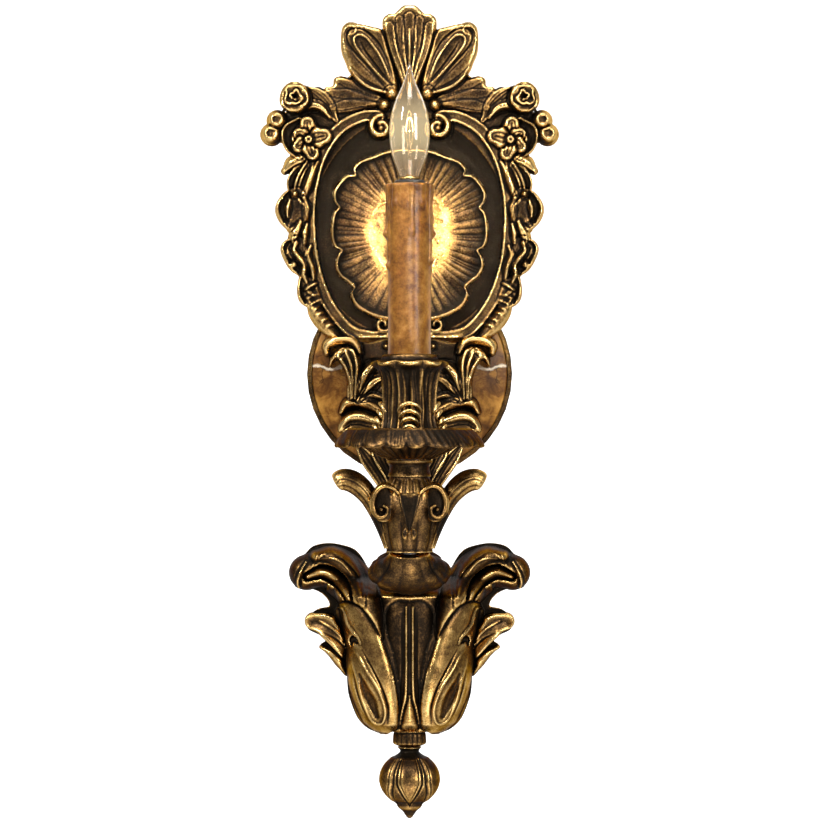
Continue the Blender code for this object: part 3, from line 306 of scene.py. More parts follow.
def outlined(x, z, height, inside, step, tone):
    """The points (x, height, z), faces, rim edges and tones of a height map inside its outline."""
    slope_z, slope_x = np.gradient(inside, step)
    steep = np.maximum(slope_x**2 + slope_z**2, 0.25)
    shift = np.clip(-inside, 0, step)
    x = x + shift * slope_x / steep
    z = z + shift * slope_z / steep
    near = inside > -0.95 * step
    core = inside > 0
    cells = near[:-1, :-1] & near[1:, :-1] & near[:-1, 1:] & near[1:, 1:]
    cells &= core[:-1, :-1] | core[1:, :-1] | core[:-1, 1:] | core[1:, 1:]
    cells = single_corners(cells)
    number = np.arange(x.size).reshape(x.shape)
    a, b, c, d = number[:-1, :-1], number[:-1, 1:], number[1:, 1:], number[1:, :-1]
    faces = np.stack([a[cells], b[cells], c[cells], d[cells]], 1)
    points = np.stack([x, height, z], -1).reshape(-1, 3)
    used, faces = np.unique(faces, return_inverse=True)
    faces = faces.reshape(-1, 4)
    points = points[used]
    edges = np.concatenate([faces[:, [k, (k + 1) % 4]] for k in range(4)])
    _, first, counts = np.unique(np.sort(edges, 1) @ [len(points), 1], return_index=True,
                                 return_counts=True)
    return points, faces, edges[first[counts == 1]], tone.reshape(-1)[used]


def single_corners(cells):
    """Fills one of two cells that meet only at a corner, so that the outline never touches itself."""
    for _ in range(4):
        low, high = cells[:-1], cells[1:]
        rising = low[:, :-1] & high[:, 1:] & ~low[:, 1:] & ~high[:, :-1]
        falling = low[:, 1:] & high[:, :-1] & ~low[:, :-1] & ~high[:, 1:]
        if not (rising.any() or falling.any()):
            break
        cells[:-1, 1:] |= rising
        cells[:-1, :-1] |= falling
    return cells


def closed_back(name, points, faces, rim, back):
    """A mesh with walls from its rim to a flat back."""
    corners, where = np.unique(rim, return_inverse=True)
    where = where.reshape(rim.shape) + len(points)
    behind = points[corners].copy()
    behind[:, 1] = -back
    walls = np.stack([rim[:, 1], rim[:, 0], where[:, 0], where[:, 1]], 1)
    mesh = mesh_of(name, np.vstack([points, behind]), [faces, walls])
    bm = bmesh.new()
    bm.from_mesh(mesh)
    edges = [e for e in bm.edges if e.is_boundary]
    bmesh.ops.triangle_fill(bm, edges=edges, use_dissolve=False, normal=(0, 1, 0))
    bm.to_mesh(mesh)
    bm.free()
    return mesh


# ---------------------------------------------------------------- turned and swept solids


def lathe(name, profile, around, out, shape=None, smooth=3, closed=False):
    """A turned upright piece. shape(angle, share, r, z) gives a change in radius and in height."""
    line = spline(profile, smooth) if smooth > 1 else np.array(profile, float)
    angle = np.linspace(0, 2 * np.pi, around, endpoint=False)
    angles, radius = np.meshgrid(angle, line[:, 0])
    heights = np.repeat(line[:, 1:2], around, 1)
    if shape:
        share = np.repeat(np.linspace(0, 1, len(line))[:, None], around, 1)
        dr, dz = shape(angles, share, radius, heights)
        radius, heights = radius + dr, heights + dz
    grid = np.stack([radius * np.sin(angles), -(out + radius * np.cos(angles)), heights], -1)
    mesh = grid_mesh(name, grid, wrap_rows=closed, wrap_cols=True)
    close_poles(mesh)
    return mesh


def sweep(name, path, sides, section, side, fine=8):
    """A solid swept along a path of (x, out, z). section(share, angle) gives its half width and depth."""
    line = spline(path, fine)
    line = np.stack([line[:, 0], -line[:, 1], line[:, 2]], 1)
    run = np.gradient(line, axis=0)
    run /= np.linalg.norm(run, axis=1)[:, None]
    side = np.array(side, float) - run * (run @ np.array(side, float))[:, None]
    side /= np.linalg.norm(side, axis=1)[:, None]
    over = np.cross(side, run)
    angle = np.linspace(0, 2 * np.pi, sides, endpoint=False)
    share = np.linspace(0, 1, len(line))
    shares, angles = np.meshgrid(share, angle, indexing="ij")
    wide, deep = section(shares, angles)
    grid = line[:, None] + side[:, None] * (wide * np.cos(angles))[..., None]
    grid = grid + over[:, None] * (deep * np.sin(angles))[..., None]
    return grid_mesh(name, grid, wrap_cols=True, caps=True)


def close_poles(mesh):
    """Joins the points of a row that has shrunk to one place, and turns the faces outward."""
    bm = bmesh.new()
    bm.from_mesh(mesh)
    bmesh.ops.remove_doubles(bm, verts=bm.verts, dist=1e-7)
    bmesh.ops.dissolve_degenerate(bm, edges=bm.edges, dist=1e-8)
    bmesh.ops.recalc_face_normals(bm, faces=bm.faces)
    bm.to_mesh(mesh)
    bm.free()


def joined(name, meshes):
    """One mesh from several closed ones."""
    bm = bmesh.new()
    for mesh in meshes:
        bm.from_mesh(mesh)
        bpy.data.meshes.remove(mesh)
    bmesh.ops.recalc_face_normals(bm, faces=bm.faces)
    found = bpy.data.meshes.new(name)
    bm.to_mesh(found)
    bm.free()
    return found


# ---------------------------------------------------------------- meshes and pieces


def mesh_of(name, points, groups):
    """A mesh from points in millimetres and arrays of faces."""
    mesh = bpy.data.meshes.new(name)
    sizes = np.concatenate([np.full(len(g), g.shape[1]) for g in groups])
    corners = np.concatenate([g.reshape(-1) for g in groups])
    mesh.vertices.add(len(points))
    mesh.vertices.foreach_set("co", (points * MM).astype(np.float32).reshape(-1))
    mesh.loops.add(len(corners))
    mesh.loops.foreach_set("vertex_index", corners.astype(np.int32))
    mesh.polygons.add(len(sizes))
    mesh.polygons.foreach_set("loop_start", np.concatenate([[0],
                              np.cumsum(sizes)[:-1]]).astype(np.int32))
    mesh.update(calc_edges=True)
    mesh.validate()
    return mesh


def grid_mesh(name, grid, wrap_rows=False, wrap_cols=True, caps=False):
    """A mesh over a grid of points. Its rows and columns may wrap around, and open ends may be capped."""
    rows, cols = grid.shape[:2]
    number = np.arange(rows * cols).reshape(rows, cols)
    if wrap_rows:
        number = np.vstack([number, number[:1]])
    if wrap_cols:
        number = np.hstack([number, number[:, :1]])
    a, b, c, d = number[:-1, :-1], number[:-1, 1:], number[1:, 1:], number[1:, :-1]
    groups = [np.stack([a, b, c, d], -1).reshape(-1, 4)]
    points = grid.reshape(-1, 3)
    if caps:
        ends = np.array([grid[0].mean(0), grid[-1].mean(0)])
        low, high = len(points), len(points) + 1
        points = np.vstack([points, ends])
        first, last = number[0], number[-1]
        groups.append(np.stack([first[1:], first[:-1], np.full(len(first) - 1, low)], 1))
        groups.append(np.stack([last[:-1], last[1:], np.full(len(last) - 1, high)], 1))
    return mesh_of(name, points, groups)


def points_of(mesh):
    """The mesh's points, in millimetres."""
    co = np.empty(len(mesh.vertices) * 3, np.float32)
    mesh.vertices.foreach_get("co", co)
    return co.reshape(-1, 3).astype(float) / MM


def store(mesh, name, values):
    """Stores a number for each point of a mesh, for its material to read."""
    mesh.attributes.new(name, "FLOAT", "POINT").data.foreach_set("value", np.array(values, np.float32))


def toned(mesh, tone):
    """Stores the tone of a mesh's first points; the rest, its sides and back, is set dark."""
    values = np.full(len(mesh.vertices), -0.5, np.float32)
    values[: len(tone)] = tone
    store(mesh, "tone", values)
    return mesh


def shade(mesh, tone):
    """Sets a mesh's tone from each point's x, out, z and distance from the column's middle line."""
    x, y, z = points_of(mesh).T
    toned(mesh, tone(x, -y, z, np.hypot(x, -y - COLUMN_OUT)))


def wear_and_shade_into(mesh):
    """Stores how far each point stands proud of its surroundings, over three distances, in millimetres."""
    count = len(mesh.vertices)
    co = points_of(mesh)
    normal = np.empty(count * 3, np.float32)
    mesh.vertex_normals.foreach_get("vector", normal)
    normal = normal.reshape(-1, 3)
    ends = np.empty(len(mesh.edges) * 2, np.int32)
    mesh.edges.foreach_get("vertices", ends)
    a, b = ends.reshape(-1, 2).T
    degree = np.maximum(np.bincount(a, minlength=count) + np.bincount(b, minlength=count), 1)
    length = np.median(np.linalg.norm(co[a] - co[b], axis=1))
    smooth = co.copy()
    reaches = (0.7, 1.8, 5.0)
    passes = [min(max(1, int((reach / length) ** 2 * 1.5)), 120) for reach in reaches]
    found = []
    for step in range(1, max(passes) + 1):
        sums = [np.bincount(a, smooth[b, k], count) + np.bincount(b, smooth[a, k],
                            count) for k in range(3)]
        total = np.stack(sums, 1)
        smooth += 0.6 * (total / degree[:, None] - smooth)
        while len(found) < 3 and step == passes[len(found)]:
            found.append(((co - smooth) * normal).sum(1))
    for name, value in zip(("fine", "middle", "broad"), found):
        store(mesh, name, value)


def placed(name, data):
    """A new object in the scene."""
    obj = bpy.data.objects.new(name, data)
    bpy.context.scene.collection.objects.link(obj)
    return obj


def piece(name, mesh, paint, body, node, sharp=None, wear_and_shade=True):
    """Puts a mesh in the scene as a piece of the object that stands for a CAD node."""
    if wear_and_shade:
        wear_and_shade_into(mesh)
    mesh.shade_smooth()
    if sharp:
        mesh.set_sharp_from_angle(angle=math.radians(sharp))
    mesh.materials.append(paint)
    obj = placed(name, mesh)
    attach(obj, body)
    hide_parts(node)


# ---------------------------------------------------------------- the cartouche


def cartouche(paint):
    """The upper back casting."""
    r = Relief(93, SEAM_Z, 226, 0.55)
    plate = both_halves([
        (0, 217.5), (7.5, 217.5), (14, 211.5), (18, 208), (27, 211), (36.5, 211.5), (40.5, 205.5),
        (39, 195.5), (35, 186.5), (43, 179.5), (50, 174.5), (56.5, 177), (65, 173.5), (75, 166),
        (77, 157.5), (86, 152.5), (84.5, 145), (75, 140), (73.5, 133), (75, 126.5), (73, 119.5),
        (73.5, 113), (79, 106.5), (80.5, 100), (78, 93.5), (73.5, 87.5), (76, 81), (77.5, 76),
        (75.5, 70), (70, 62.5), (67, 56.5), (67, 48), (62.5, 41), (59, 38), (55, 30.5), (46.5, 22.5),
        (35.5, 16.5), (0, 15.5),
    ])
    r.plate(plate, 4.2, tone=-0.16)
    ground_mask(r)
    frame_ring(r)
    garland(r)
    crest(r)
    flowers(r)
    piece("cartouche_relief", r.solid("cartouche_relief", RELIEF_BACK), paint, "root",
          "cartouche")
    behind = r.slab("cartouche_plate", PLATE_BACK, RELIEF_BACK - PLATE_BACK + 0.3,
                    bar_top=SPINE_HIGH[2] + 1)
    piece("cartouche_plate", behind, paint, "root", "cartouche", sharp=40)


def ground_mask(r):
    """Sinks the plate inside the oval frame, where the dish sits, to a smooth shallow cove."""
    above = r.z > FRAME_Z
    across = np.hypot(r.x / 61.0, (r.z - FRAME_Z) / np.where(above, 72.0, 64.0))
    cove = 1.7 + 1.5 * np.clip((across - 0.8) / 0.2, 0, 1) ** 2
    r.height[:] = np.where((across < 1) & (r.height > 0), cove, r.height)
    # Painted shade: the cove behind the dish is set dark.
    r.tone[:] = np.where((across < 1) & (r.height > 0), -0.4, r.tone)


FRAME_PATH = [
    (18.8, 158.6), (29.8, 158), (44, 150), (55, 133), (60.5, 112), (61.5, 92), (59, 68), (52, 47),
    (43, 33), (34.8, 25.7), (24.3, 23), (15, 22.6),
]


def frame_ring(r):
    """The oval frame: two beads with a stippled band between them, ending in volutes at the top."""
    top = volute(17.5, 151.5, 7.6, 2.6, 95, -290)
    view, across, along = r.near(spline(FRAME_PATH, 6), 7)
    gap = np.abs(across)
    half_band = 3.7
    beads = 1.3 * bump(gap, 2.8, 0.7)
    stipple = np.cos(along * 700) * bump(gap, 0, 0.9) * 0.07
    r.lay(view, 6.2 + beads + stipple, half_band - gap, 1.4, tone=-0.02)
    r.leaf(top, [2.2, 2.8, 3.0, 2.2], [8.4, 9.4, 10.2, 10.6], crown=0.45, moat=1.0, tone=-0.06)
    r.ball(17.5, 151, 2.4, 11.4, moat=0.8)
    foot = volute(16.5, 30.5, 5.0, 1.6, 200, 560)
    r.leaf(foot, [1.2, 1.6, 1.6, 1.3], [7.5, 8.5, 9.0, 9.2], moat=0.9)


def crest(r):
    """The shell crest: a centre leaf, two pairs of side leaves and the curls at their feet."""
    low_leaf = [
        (15, 169), (27, 176.5), (35.5, 181.5), (42, 183.5), (46.5, 182), (47.5, 177.5), (52, 176.5),
        (54, 172), (51, 168), (51, 163), (47, 160.5), (36.5, 161), (27, 163), (18, 165),
    ]
    r.pillow(low_leaf, 3.2, 3.0, base=4.0, moat=1.0, tone=-0.14)
    for route in (
        [(17, 169), (29, 175.5), (44.5, 181)],
        [(18, 168), (33, 171.5), (51.5, 173)],
        [(19.5, 166), (33, 166.5), (48.5, 163.5)],
    ):
        r.leaf(route, [0.8, 2.2, 2.9, 1.6], [6, 7.2, 7.6, 6.6], cup=0.28, rim=0.5, ribs=2, depth=0.4,
               moat=0.9)
    side = [
        (15.5, 211), (23.5, 214), (33, 216), (38, 216.5), (41.5, 213.5), (42.5, 206.5), (42, 198),
        (39.5, 191.5), (36.5, 185), (29, 179.5), (15.5, 173), (7.5, 174), (8.5, 185.5), (12, 200.5),
    ]
    r.pillow(side, 4.0, 3.4, base=5.0)
    r.leaf([(11.5, 174), (19.5, 188), (29, 201.5), (35.5, 210.5)], [1.2, 5.0, 7.4, 6.4],
           [8.4, 9.2, 8.8, 7.6], cup=0.42, rim=0.7, moat=0.6)
    loop = [
        (12.5, 177), (20.5, 185.5), (29, 195.5), (34, 203), (33, 207.5), (28, 207.5), (22, 201),
        (16.5, 192), (11.5, 179.5),
    ]
    r.line(loop, 0.75, [0.4, 1.2, 1.5, 1.5, 1.6, 1.5, 1.5, 1.2, 0.4])
    for route in (
        [(12, 178.5), (19.5, 188), (27, 198), (30, 203.5)],
        [(14.5, 175.5), (26, 189), (36.5, 201), (38.5, 208), (35.5, 212), (28.5, 211.5), (20.5, 205),
          (14.5, 194.5), (10, 181)],
    ):
        r.line(route, 0.6, [-0.4, -1.4, -1.5, -1.5, -0.4])
    r.line([(40.5, 203), (41, 209), (38, 213.5), (33.5, 213), (33.5, 209.5), (36.5, 208.5)], 0.7,
           [0.5, 1.2, 1.3, 0.8])
    r.leaf([(36.5, 187.5), (31.5, 181), (24.5, 176), (15, 173)], [1.0, 2.2, 2.2, 1.2], [8, 9.4, 9.6, 9],
           moat=1.0)
    middle = both_halves([
        (0, 227), (4, 226.5), (7, 224), (9, 222), (13, 221.5), (16.5, 218.5), (16.5, 211.5),
        (14.5, 206.5), (12.5, 199.5), (9.5, 190.5), (6.5, 182), (3.5, 173.5), (0, 170.5),
    ])
    r.pillow(middle, 3.4, 3.0, base=6.6, moat=1.4, cover=True)
    for route, wide in (
        ([(1, 173.5), (5, 187), (10, 201.5), (12.5, 213.5)], [0.8, 1.9, 2.6, 2.6]),
        ([(0.5, 173.5), (3, 188), (5, 204), (6, 217.5)], [0.7, 1.6, 2.2, 2.4]),
    ):
        r.leaf(route, wide, [9.0, 10.4, 10.2, 8.8], cup=0.42, rim=0.6, moat=0.8)
    for route in (
        [(0.5, 174.5), (4.5, 188), (8.5, 201.5), (10, 213)],
        [(0, 174.5), (2, 189.5), (4, 204), (4, 215.5)],
        [(1.5, 173.5), (6.5, 185.5), (12, 200.5), (14.5, 211.5)],
    ):
        r.line(route, 0.55, [0.6, 1.2, 1.2, 0.4])
    r.leaf([(0, 189.5), (0, 203), (0, 214), (0, 219)], [0.8, 3.2, 4.3, 3.2], [10.2, 10.8, 10.4, 9.4],
           cup=0.5, rim=0.8, moat=0.9)
    r.line([(0, 193), (0, 203), (0, 211.5)], [0.4, 0.9, 0.5], [0.6, 2.2, 1.0])
    r.ball(11, 172.5, 4.7, 11.0, tone=0.12)
    r.ball(15.5, 165.5, 4.2, 10.4, tone=0.12)


def flowers(r):
    """The rose, its buds and the open flower at each shoulder."""
    r.leaf([(45, 156), (51.5, 165), (57.5, 171), (64.5, 176)], [1.5, 5.0, 5.6, 2.0], [6, 8, 8, 6],
           cup=0.2, rim=0.6, ribs=6, depth=0.7)
    r.leaf([(49, 157.5), (54, 163.5), (61, 165), (67.5, 161)], [1.2, 3.2, 3.6, 1.6], [7, 9, 9, 7],
           ribs=4, depth=0.6)
    rose(r, 70.5, 170, 9.8, 14.5, turns=2.8, petals=3, lean=0.6, tone=-0.05)
    bud(r, 85, 147.5, 7.2, 12.0)
    bud(r, 81.5, 156, 6.8, 13.0)
    r.leaf([(67.5, 133), (73, 140), (74, 149), (68, 155.5)], [1.6, 4.2, 5.0, 2.6], [7, 9.5, 10.5, 9],
           cup=0.55, rim=1.1, moat=1.4)
    r.leaf([(63.5, 131.5), (68, 139), (69, 147), (65.5, 153.5)], [1.0, 3.0, 3.4, 1.8],
           [9, 10.5, 11.2, 10], cup=0.5, rim=1.0, moat=1.0)
    petals = [(85, 10.0, 6.4), (30, 7.0, 5.2), (-35, 7.5, 5.6), (-105, 9.0, 6.0), (168, 9.5, 7.0)]
    flower(r, 62, 144, petals, 11.0, 3.3)


def rose(relief, x, z, radius, height, turns=2.6, petals=5, lean=0.0, tone=0.0):
    """A full rose: petals that wind out from its heart."""
    view, _, _ = relief.near(np.array([[x - 0.01, z], [x + 0.01, z]]), radius + 2)
    px, pz = relief.x[view] - x, relief.z[view] - z
    angle = np.arctan2(pz, px) + lean
    wavy = radius * (1 + 0.03 * np.cos(petals * angle))
    share = np.hypot(px, pz) / wavy
    unrest = 0.06 * np.sin(3 * angle + 9 * share) + 0.04 * np.sin(5 * angle - 4 * share)
    wind = (np.maximum(share + unrest, 0.02) ** 0.8 * turns - angle / (2 * np.pi)) % 1.0
    curl = wind**1.8 * (1 - np.clip((wind - 0.84) / 0.16, 0, 1))
    top = height * (0.5 + 0.5 * np.sqrt(np.clip(1 - share**3, 0, 1))) + 0.3 * height * (curl - 0.5)
    top -= 0.35 * height * np.exp(-((share / 0.12) ** 2))
    relief.lay(view, top, wavy - np.hypot(px, pz), 2.0, cover=True, tone=tone)


def bud(relief, x, z, radius, height):
    """A round bud with an open ring for a mouth."""
    relief.ball(x, z, radius, height, moat=1.6)
    view, gap, _ = relief.near(np.array([[x - 0.01, z], [x + 0.01, z]]), radius)
    share = np.abs(gap) / radius
    relief.height[view] += height * 0.12 * np.exp(-(((share - 0.52) / 0.13) ** 2))
    relief.height[view] -= height * 0.13 * np.exp(-((share / 0.3) ** 4))
    relief.height[view] -= height * 0.12 * np.exp(-(((share - 0.8) / 0.07) ** 2))


def flower(relief, x, z, petals, height, heart):
    """An open flower: petals as (direction in degrees, length, width), around a ringed heart."""
    for turn, length, width in petals:
        a = math.radians(turn)
        route = [(x + length * k * math.cos(a), z + length * k * math.sin(a)) for k in (0, 0.55, 1)]
        widths = [width * k for k in (0.35, 0.85, 1, 0.75)]
        heights = [height * k for k in (0.62, 0.9, 1.02, 0.95)]
        relief.leaf(route, widths, heights, cup=0.16, rim=0.6, ribs=5, depth=0.8, moat=1.6, cover=True)
    relief.ball(x, z, heart, height * 1.12)
    view, gap, _ = relief.near(np.array([[x - 0.01, z], [x + 0.01, z]]), heart)
    relief.height[view] -= height * 0.3 * np.exp(-((np.abs(gap) / (heart * 0.42)) ** 4))


def garland(r):
    """The leaves, bell flowers and ribbon that hang down each side of the oval frame."""
    r.leaf([(62, 134), (67.5, 131.5), (73, 128.5), (77, 125)], [2.0, 4.8, 5.4, 2.4], [7, 9.4, 9, 6.5],
           crown=0.6, ribs=3, depth=0.6, moat=1.4, tone=0.04)
    r.leaf([(63.5, 128), (68, 124), (71, 118), (71.5, 110.5)], [2.0, 4.4, 4.8, 3.2], [8, 9.6, 9.2, 8],
           cup=0.3, rim=0.6, ribs=4, depth=0.6, moat=1.4, tone=-0.12)
    r.leaf([(60, 133), (63, 125.5), (66, 118), (69, 110.5)], [1.8, 3.8, 4.6, 3.4], [8.5, 10.6, 11, 10],
           cup=0.4, rim=0.9, ribs=4, depth=0.8, moat=1.6)
    r.leaf([(56.5, 130.5), (60, 123), (62.5, 115.5), (65, 108)], [1.4, 2.8, 3.2, 1.8],
           [7.6, 9.6, 9.8, 8.6], ribs=2, depth=0.5, tone=-0.05)
    lobe = [
        (69, 114.5), (74, 112.5), (79, 107.5), (82, 101), (79.5, 94), (74.5, 87.5), (69, 85),
        (63, 91), (62, 103.5), (65, 112),
    ]
    r.pillow(lobe, 2.6, 2.2, base=5.0, tone=-0.16)
    r.leaf([(70, 113.5), (75.5, 111.5), (80, 105.5), (81, 100), (78.5, 94), (73.5, 88)],
           [0.8, 1.6, 1.9, 2.0, 1.8, 0.9], [8.6, 10, 10.4, 10.4, 10, 8.4], tone=-0.1)
    r.leaf([(71, 110.5), (70, 105), (68.5, 100), (68, 94.5)], [1.6, 4.0, 6.4, 6.2],
           [9.8, 11.4, 11.0, 9.6], cup=0.45, rim=1.0, ribs=5, depth=1.2, moat=1.8, tone=-0.02)
    r.leaf([(73.5, 107), (75, 101.5), (75, 96.5)], [1.0, 2.4, 1.4], [9.4, 10.6, 9.0], moat=1.4)
    r.ball(70.5, 110.5, 2.9, 12.0, tone=0.05)
    for route in (
        [(65, 108), (63, 102), (64.5, 94.5)],
        [(76, 93.5), (73, 89.5), (67.5, 89)],
        [(76, 78.5), (74, 73.5), (70, 69.5)],
        [(65.5, 78.5), (63, 72.5), (62.5, 65)],
        [(64.5, 57), (62, 51), (56.5, 46.5)],
    ):
        r.leaf(route, [1.2, 3.0, 1.2], [7.8, 9.4, 7.8], ribs=3, depth=0.7, tone=-0.16)
    r.leaf([(67, 93.5), (69, 88.5), (71, 83.5), (70, 78)], [1.6, 3.6, 4.2, 2.0], [9, 11, 10.6, 8.5],
           ribs=3, depth=0.8, moat=1.6, tone=0.02)
    r.leaf([(63, 92), (64.5, 86), (64.5, 80.5)], [1.2, 2.6, 1.6], [8.6, 10.2, 8.8], ribs=2, depth=0.6,
           moat=1.4)
    lobe = [
        (70, 85), (74, 83.5), (78, 80), (79, 75), (76, 69), (71.5, 63.5), (67, 59), (62, 60),
        (62, 72.5), (65, 82.5),
    ]
    r.pillow(lobe, 2.4, 2.2, base=4.8, tone=-0.18)
    r.leaf([(70.5, 83.5), (75.5, 81.5), (78, 77.5), (76.5, 72), (72.5, 65), (68, 61)],
           [0.8, 1.5, 1.8, 1.9, 1.7, 0.9], [8.4, 9.6, 10, 10, 9.6, 8.2], tone=-0.1)
    r.leaf([(69, 80.5), (71, 76), (68, 71.5), (64.5, 67), (65, 61), (62, 54)],
           [1.4, 2.3, 2.6, 2.6, 2.4, 1.2], [9, 10.4, 10.6, 10.6, 10.2, 9], ribs=2, depth=0.5, moat=1.6,
           tone=-0.04)
    r.leaf([(61, 78.5), (62.5, 72.5), (60, 65), (59, 57.5)], [1.2, 2.4, 2.6, 1.4], [8, 9.4, 9.4, 8],
           ribs=4, depth=0.6, tone=-0.08)
    r.ball(71, 67, 2.7, 11.0, moat=1.4, tone=0.06)
    lobe = [(67, 61), (69, 56), (69, 49.5), (66.5, 43), (59.5, 40), (54, 41.5), (55.5, 51.5), (60, 58.5)]
    r.pillow(lobe, 2.4, 2.0, base=4.8, moat=1.0, tone=-0.16)
    r.leaf([(67, 59), (68, 53), (66.5, 45.5), (61, 40.5)], [0.8, 1.6, 1.8, 0.9], [8.4, 9.8, 9.8, 8.2],
           tone=-0.1)
    r.leaf([(64.5, 51.5), (60.5, 54), (57.5, 55.5)], [0.9, 1.8, 1.2], [9, 10.4, 9], tone=0.02)
    r.leaf([(62, 45.5), (58, 38), (53, 31.5), (47, 25), (40.5, 20)], [2.2, 4.8, 5.4, 4.4, 1.8],
           [7.6, 10, 10, 9, 7], crown=0.5, tone=-0.08)
    for route in (
        [(63, 46), (59.5, 48), (55.5, 48.5)],
        [(62, 41.5), (58, 44), (54, 45.5)],
        [(60, 38), (56.5, 40.5), (52, 41.5)],
        [(58, 34.5), (54, 37.5), (49.5, 38)],
        [(55, 30.5), (51.5, 33.5), (47, 34.5)],
        [(52, 27.5), (48.5, 30), (44, 30.5)],
    ):
        r.line(route, 1.0, [0.2, 1.5, 0.4])


# ---------------------------------------------------------------- the scroll bracket


def scroll_bracket(paint):
    """The middle back casting: acanthus fronds and curled tips above, scrolls and fluted leaves below."""
    r = Relief(55, -106.6, SEAM_Z - 0.3, 0.5, thick=3.2)
    plate = both_halves([
        (0, 22), (15.5, 22), (24.5, 19.5), (33, 20), (38.5, 19.5), (41.5, 13.5), (41.5, 6), (39, -4),
        (39, -13.5), (43, -18.5), (42, -27), (39.5, -34.5), (35.5, -41.5), (31.5, -45), (29, -50.5),
        (24.5, -58), (19.5, -65.5), (15, -72.5), (12.5, -80), (12.5, -107), (0, -107),
    ])
    r.plate(plate, 5.4, tone=-0.3)
    stem = both_halves([(0, -20), (12.4, -30), (12.4, -60), (12.4, -90), (12.4, -110), (0, -112)])
    r.pillow(stem, 8.5, 8.0, base=5.2, moat=0.5, tone=-0.15)
    for x in (4.2, 8.4):
        r.line([(x, -36), (x, -70), (x, -108)], 0.8, -1.4)
    lower_leaves(r)
    shoulder(r)
    fronds(r)
    mesh = r.solid("scroll_bracket_relief", PLATE_BACK, shell=3.0, floor=bracket_floor)
    piece("scroll_bracket_relief", mesh, paint, "root", "scroll_bracket")


def bracket_floor(x, z):
    """How far in front of the bracket's back its inside has to stay, for the steel bar and the wires."""
    bar = np.where((np.abs(x) < SLOT_HALF) & (z < 21), SLOT_DEEP, 0.0)
    channel = np.where((np.abs(x) < SLOT_HALF) & (z < -34), STEM_DEEP, 0.0)
    return np.maximum(bar, channel)


def lower_leaves(r):
    """The ribbed leaves that run down from the pan to the stem."""
    for route, wide in (
        ([(32.5, -43), (27, -51), (20.5, -60.5), (14.5, -71.5), (11, -81.5)], [2.0, 4.6, 4.6, 3.4, 1.6]),
        ([(23, -42), (19, -50.5), (14.5, -59), (10, -69)], [2.0, 4.4, 4.0, 1.6]),
        ([(13, -44.5), (11, -53), (7.5, -61.5)], [2.0, 3.6, 2.0]),
    ):
        r.leaf(route, wide, [8, 11, 11, 9], cup=0.3, rim=0.7, ribs=4, depth=0.8, moat=1.3, tone=-0.04)


def shoulder(r):
    """The dark band and the smooth gold scroll below it, at the height of the cup's foot."""
    r.leaf([(42, -23.5), (39, -18.5), (32.5, -16.5), (25, -19), (17.5, -23.5), (11.5, -28.5)],
           [2.4, 4.2, 5.0, 5.0, 4.6, 3.4], [9, 11.6, 12.4, 12.4, 11.6, 9.6], crown=0.45, moat=1.3,
           tone=-0.16)
    under = [
        (43.5, -35), (44, -31), (41, -26), (35.5, -23.5), (28, -24.5), (19.5, -28.5), (14.5, -33.5),
        (19.5, -36), (35.5, -37),
    ]
    r.pillow(under, 3.0, 2.6, base=8.8, moat=1.4)
    r.leaf([(43, -35), (40.5, -30.5), (36.5, -27), (30, -26.5), (23, -28.5), (16.5, -31)],
           [1.4, 3.4, 4.2, 4.4, 4.0, 2.6], [11.4, 14.0, 14.8, 14.6, 13.6, 11.6], crown=0.45, moat=1.4,
           tone=0.16)


def fronds(r):
    """The spray of fronds: a tall ribbed one with a curled gold tip, and one that leans inward."""
    back = [(33, -16), (27, -15.5), (18, -18.5), (11, -18.5), (11, 5), (15.5, 7.5), (22, 8.5), (29, 5)]
    r.pillow(back, 2.6, 4.0, base=5.4, moat=1.0, tone=-0.16)
    r.leaf([(31.5, -15.5), (27, -10), (21, -4.5), (15, -2.5)], [2.4, 4.4, 4.6, 2.4], [9, 11, 10.8, 9],
           ribs=4, depth=0.8, moat=1.4, tone=-0.06)
    r.leaf([(28.5, -16), (23, -13.5), (16.5, -15)], [1.6, 2.8, 1.6], [9, 10.4, 9], ribs=2, depth=0.6,
           tone=-0.1)
    r.leaf([(33, -15), (30.5, -6.5), (27, 0.5), (22, 5.5), (16.5, 6.5)], [2.0, 3.6, 4.0, 3.4, 1.6],
           [10.4, 13, 13.4, 12.6, 10.6], ribs=3, depth=0.8, moat=1.6, tone=0.06)
    fan = [
        (33, -16), (31, -6.5), (30, 3.5), (30.5, 13.5), (33.5, 19), (39.5, 17.5), (45, 14.5),
        (47, 11), (42, 5), (39, -4), (38.5, -14.5),
    ]
    r.pillow(fan, 3.0, 3.4, base=8.6, moat=1.6)
    for route in (
        [(36, -15), (36.5, -5), (39, 3.5), (44, 11)],
        [(35, -15), (35, -4), (36, 5), (39.5, 14)],
        [(33.5, -15), (33, -4), (32.5, 6), (35, 16)],
    ):
        r.leaf(route, [0.8, 1.5, 1.9, 1.5], [12.6, 13.6, 13.8, 12.4], crown=0.5, moat=0.9, tone=0.08)
    tip = [(30.5, 13), (32.5, 17.5), (36.5, 21), (43, 21.5), (47.5, 20), (51, 17), (51, 13)]
    r.leaf(tip, [1.8, 3.0, 4.0, 4.4, 4.4, 3.8, 2.4], [12.8, 14, 14.6, 14.4, 13.6, 12.2, 10], crown=0.5,
           moat=1.8, cover=True, tone=0.16)
    r.line([(32.5, 14.5), (35.5, 18.5), (41, 19.5), (46.5, 18.5)], 0.7, [-0.4, -1.3, -1.3, -0.4])
    r.leaf([(41.5, 13.5), (44.5, 11.5), (47.5, 9), (49, 5)], [1.2, 2.2, 2.2, 0.9], [9.4, 10.8, 10, 7.8],
           tone=-0.08)
    r.ball(14.5, 17, 2.2, 9.0)


# ---------------------------------------------------------------- the calyx


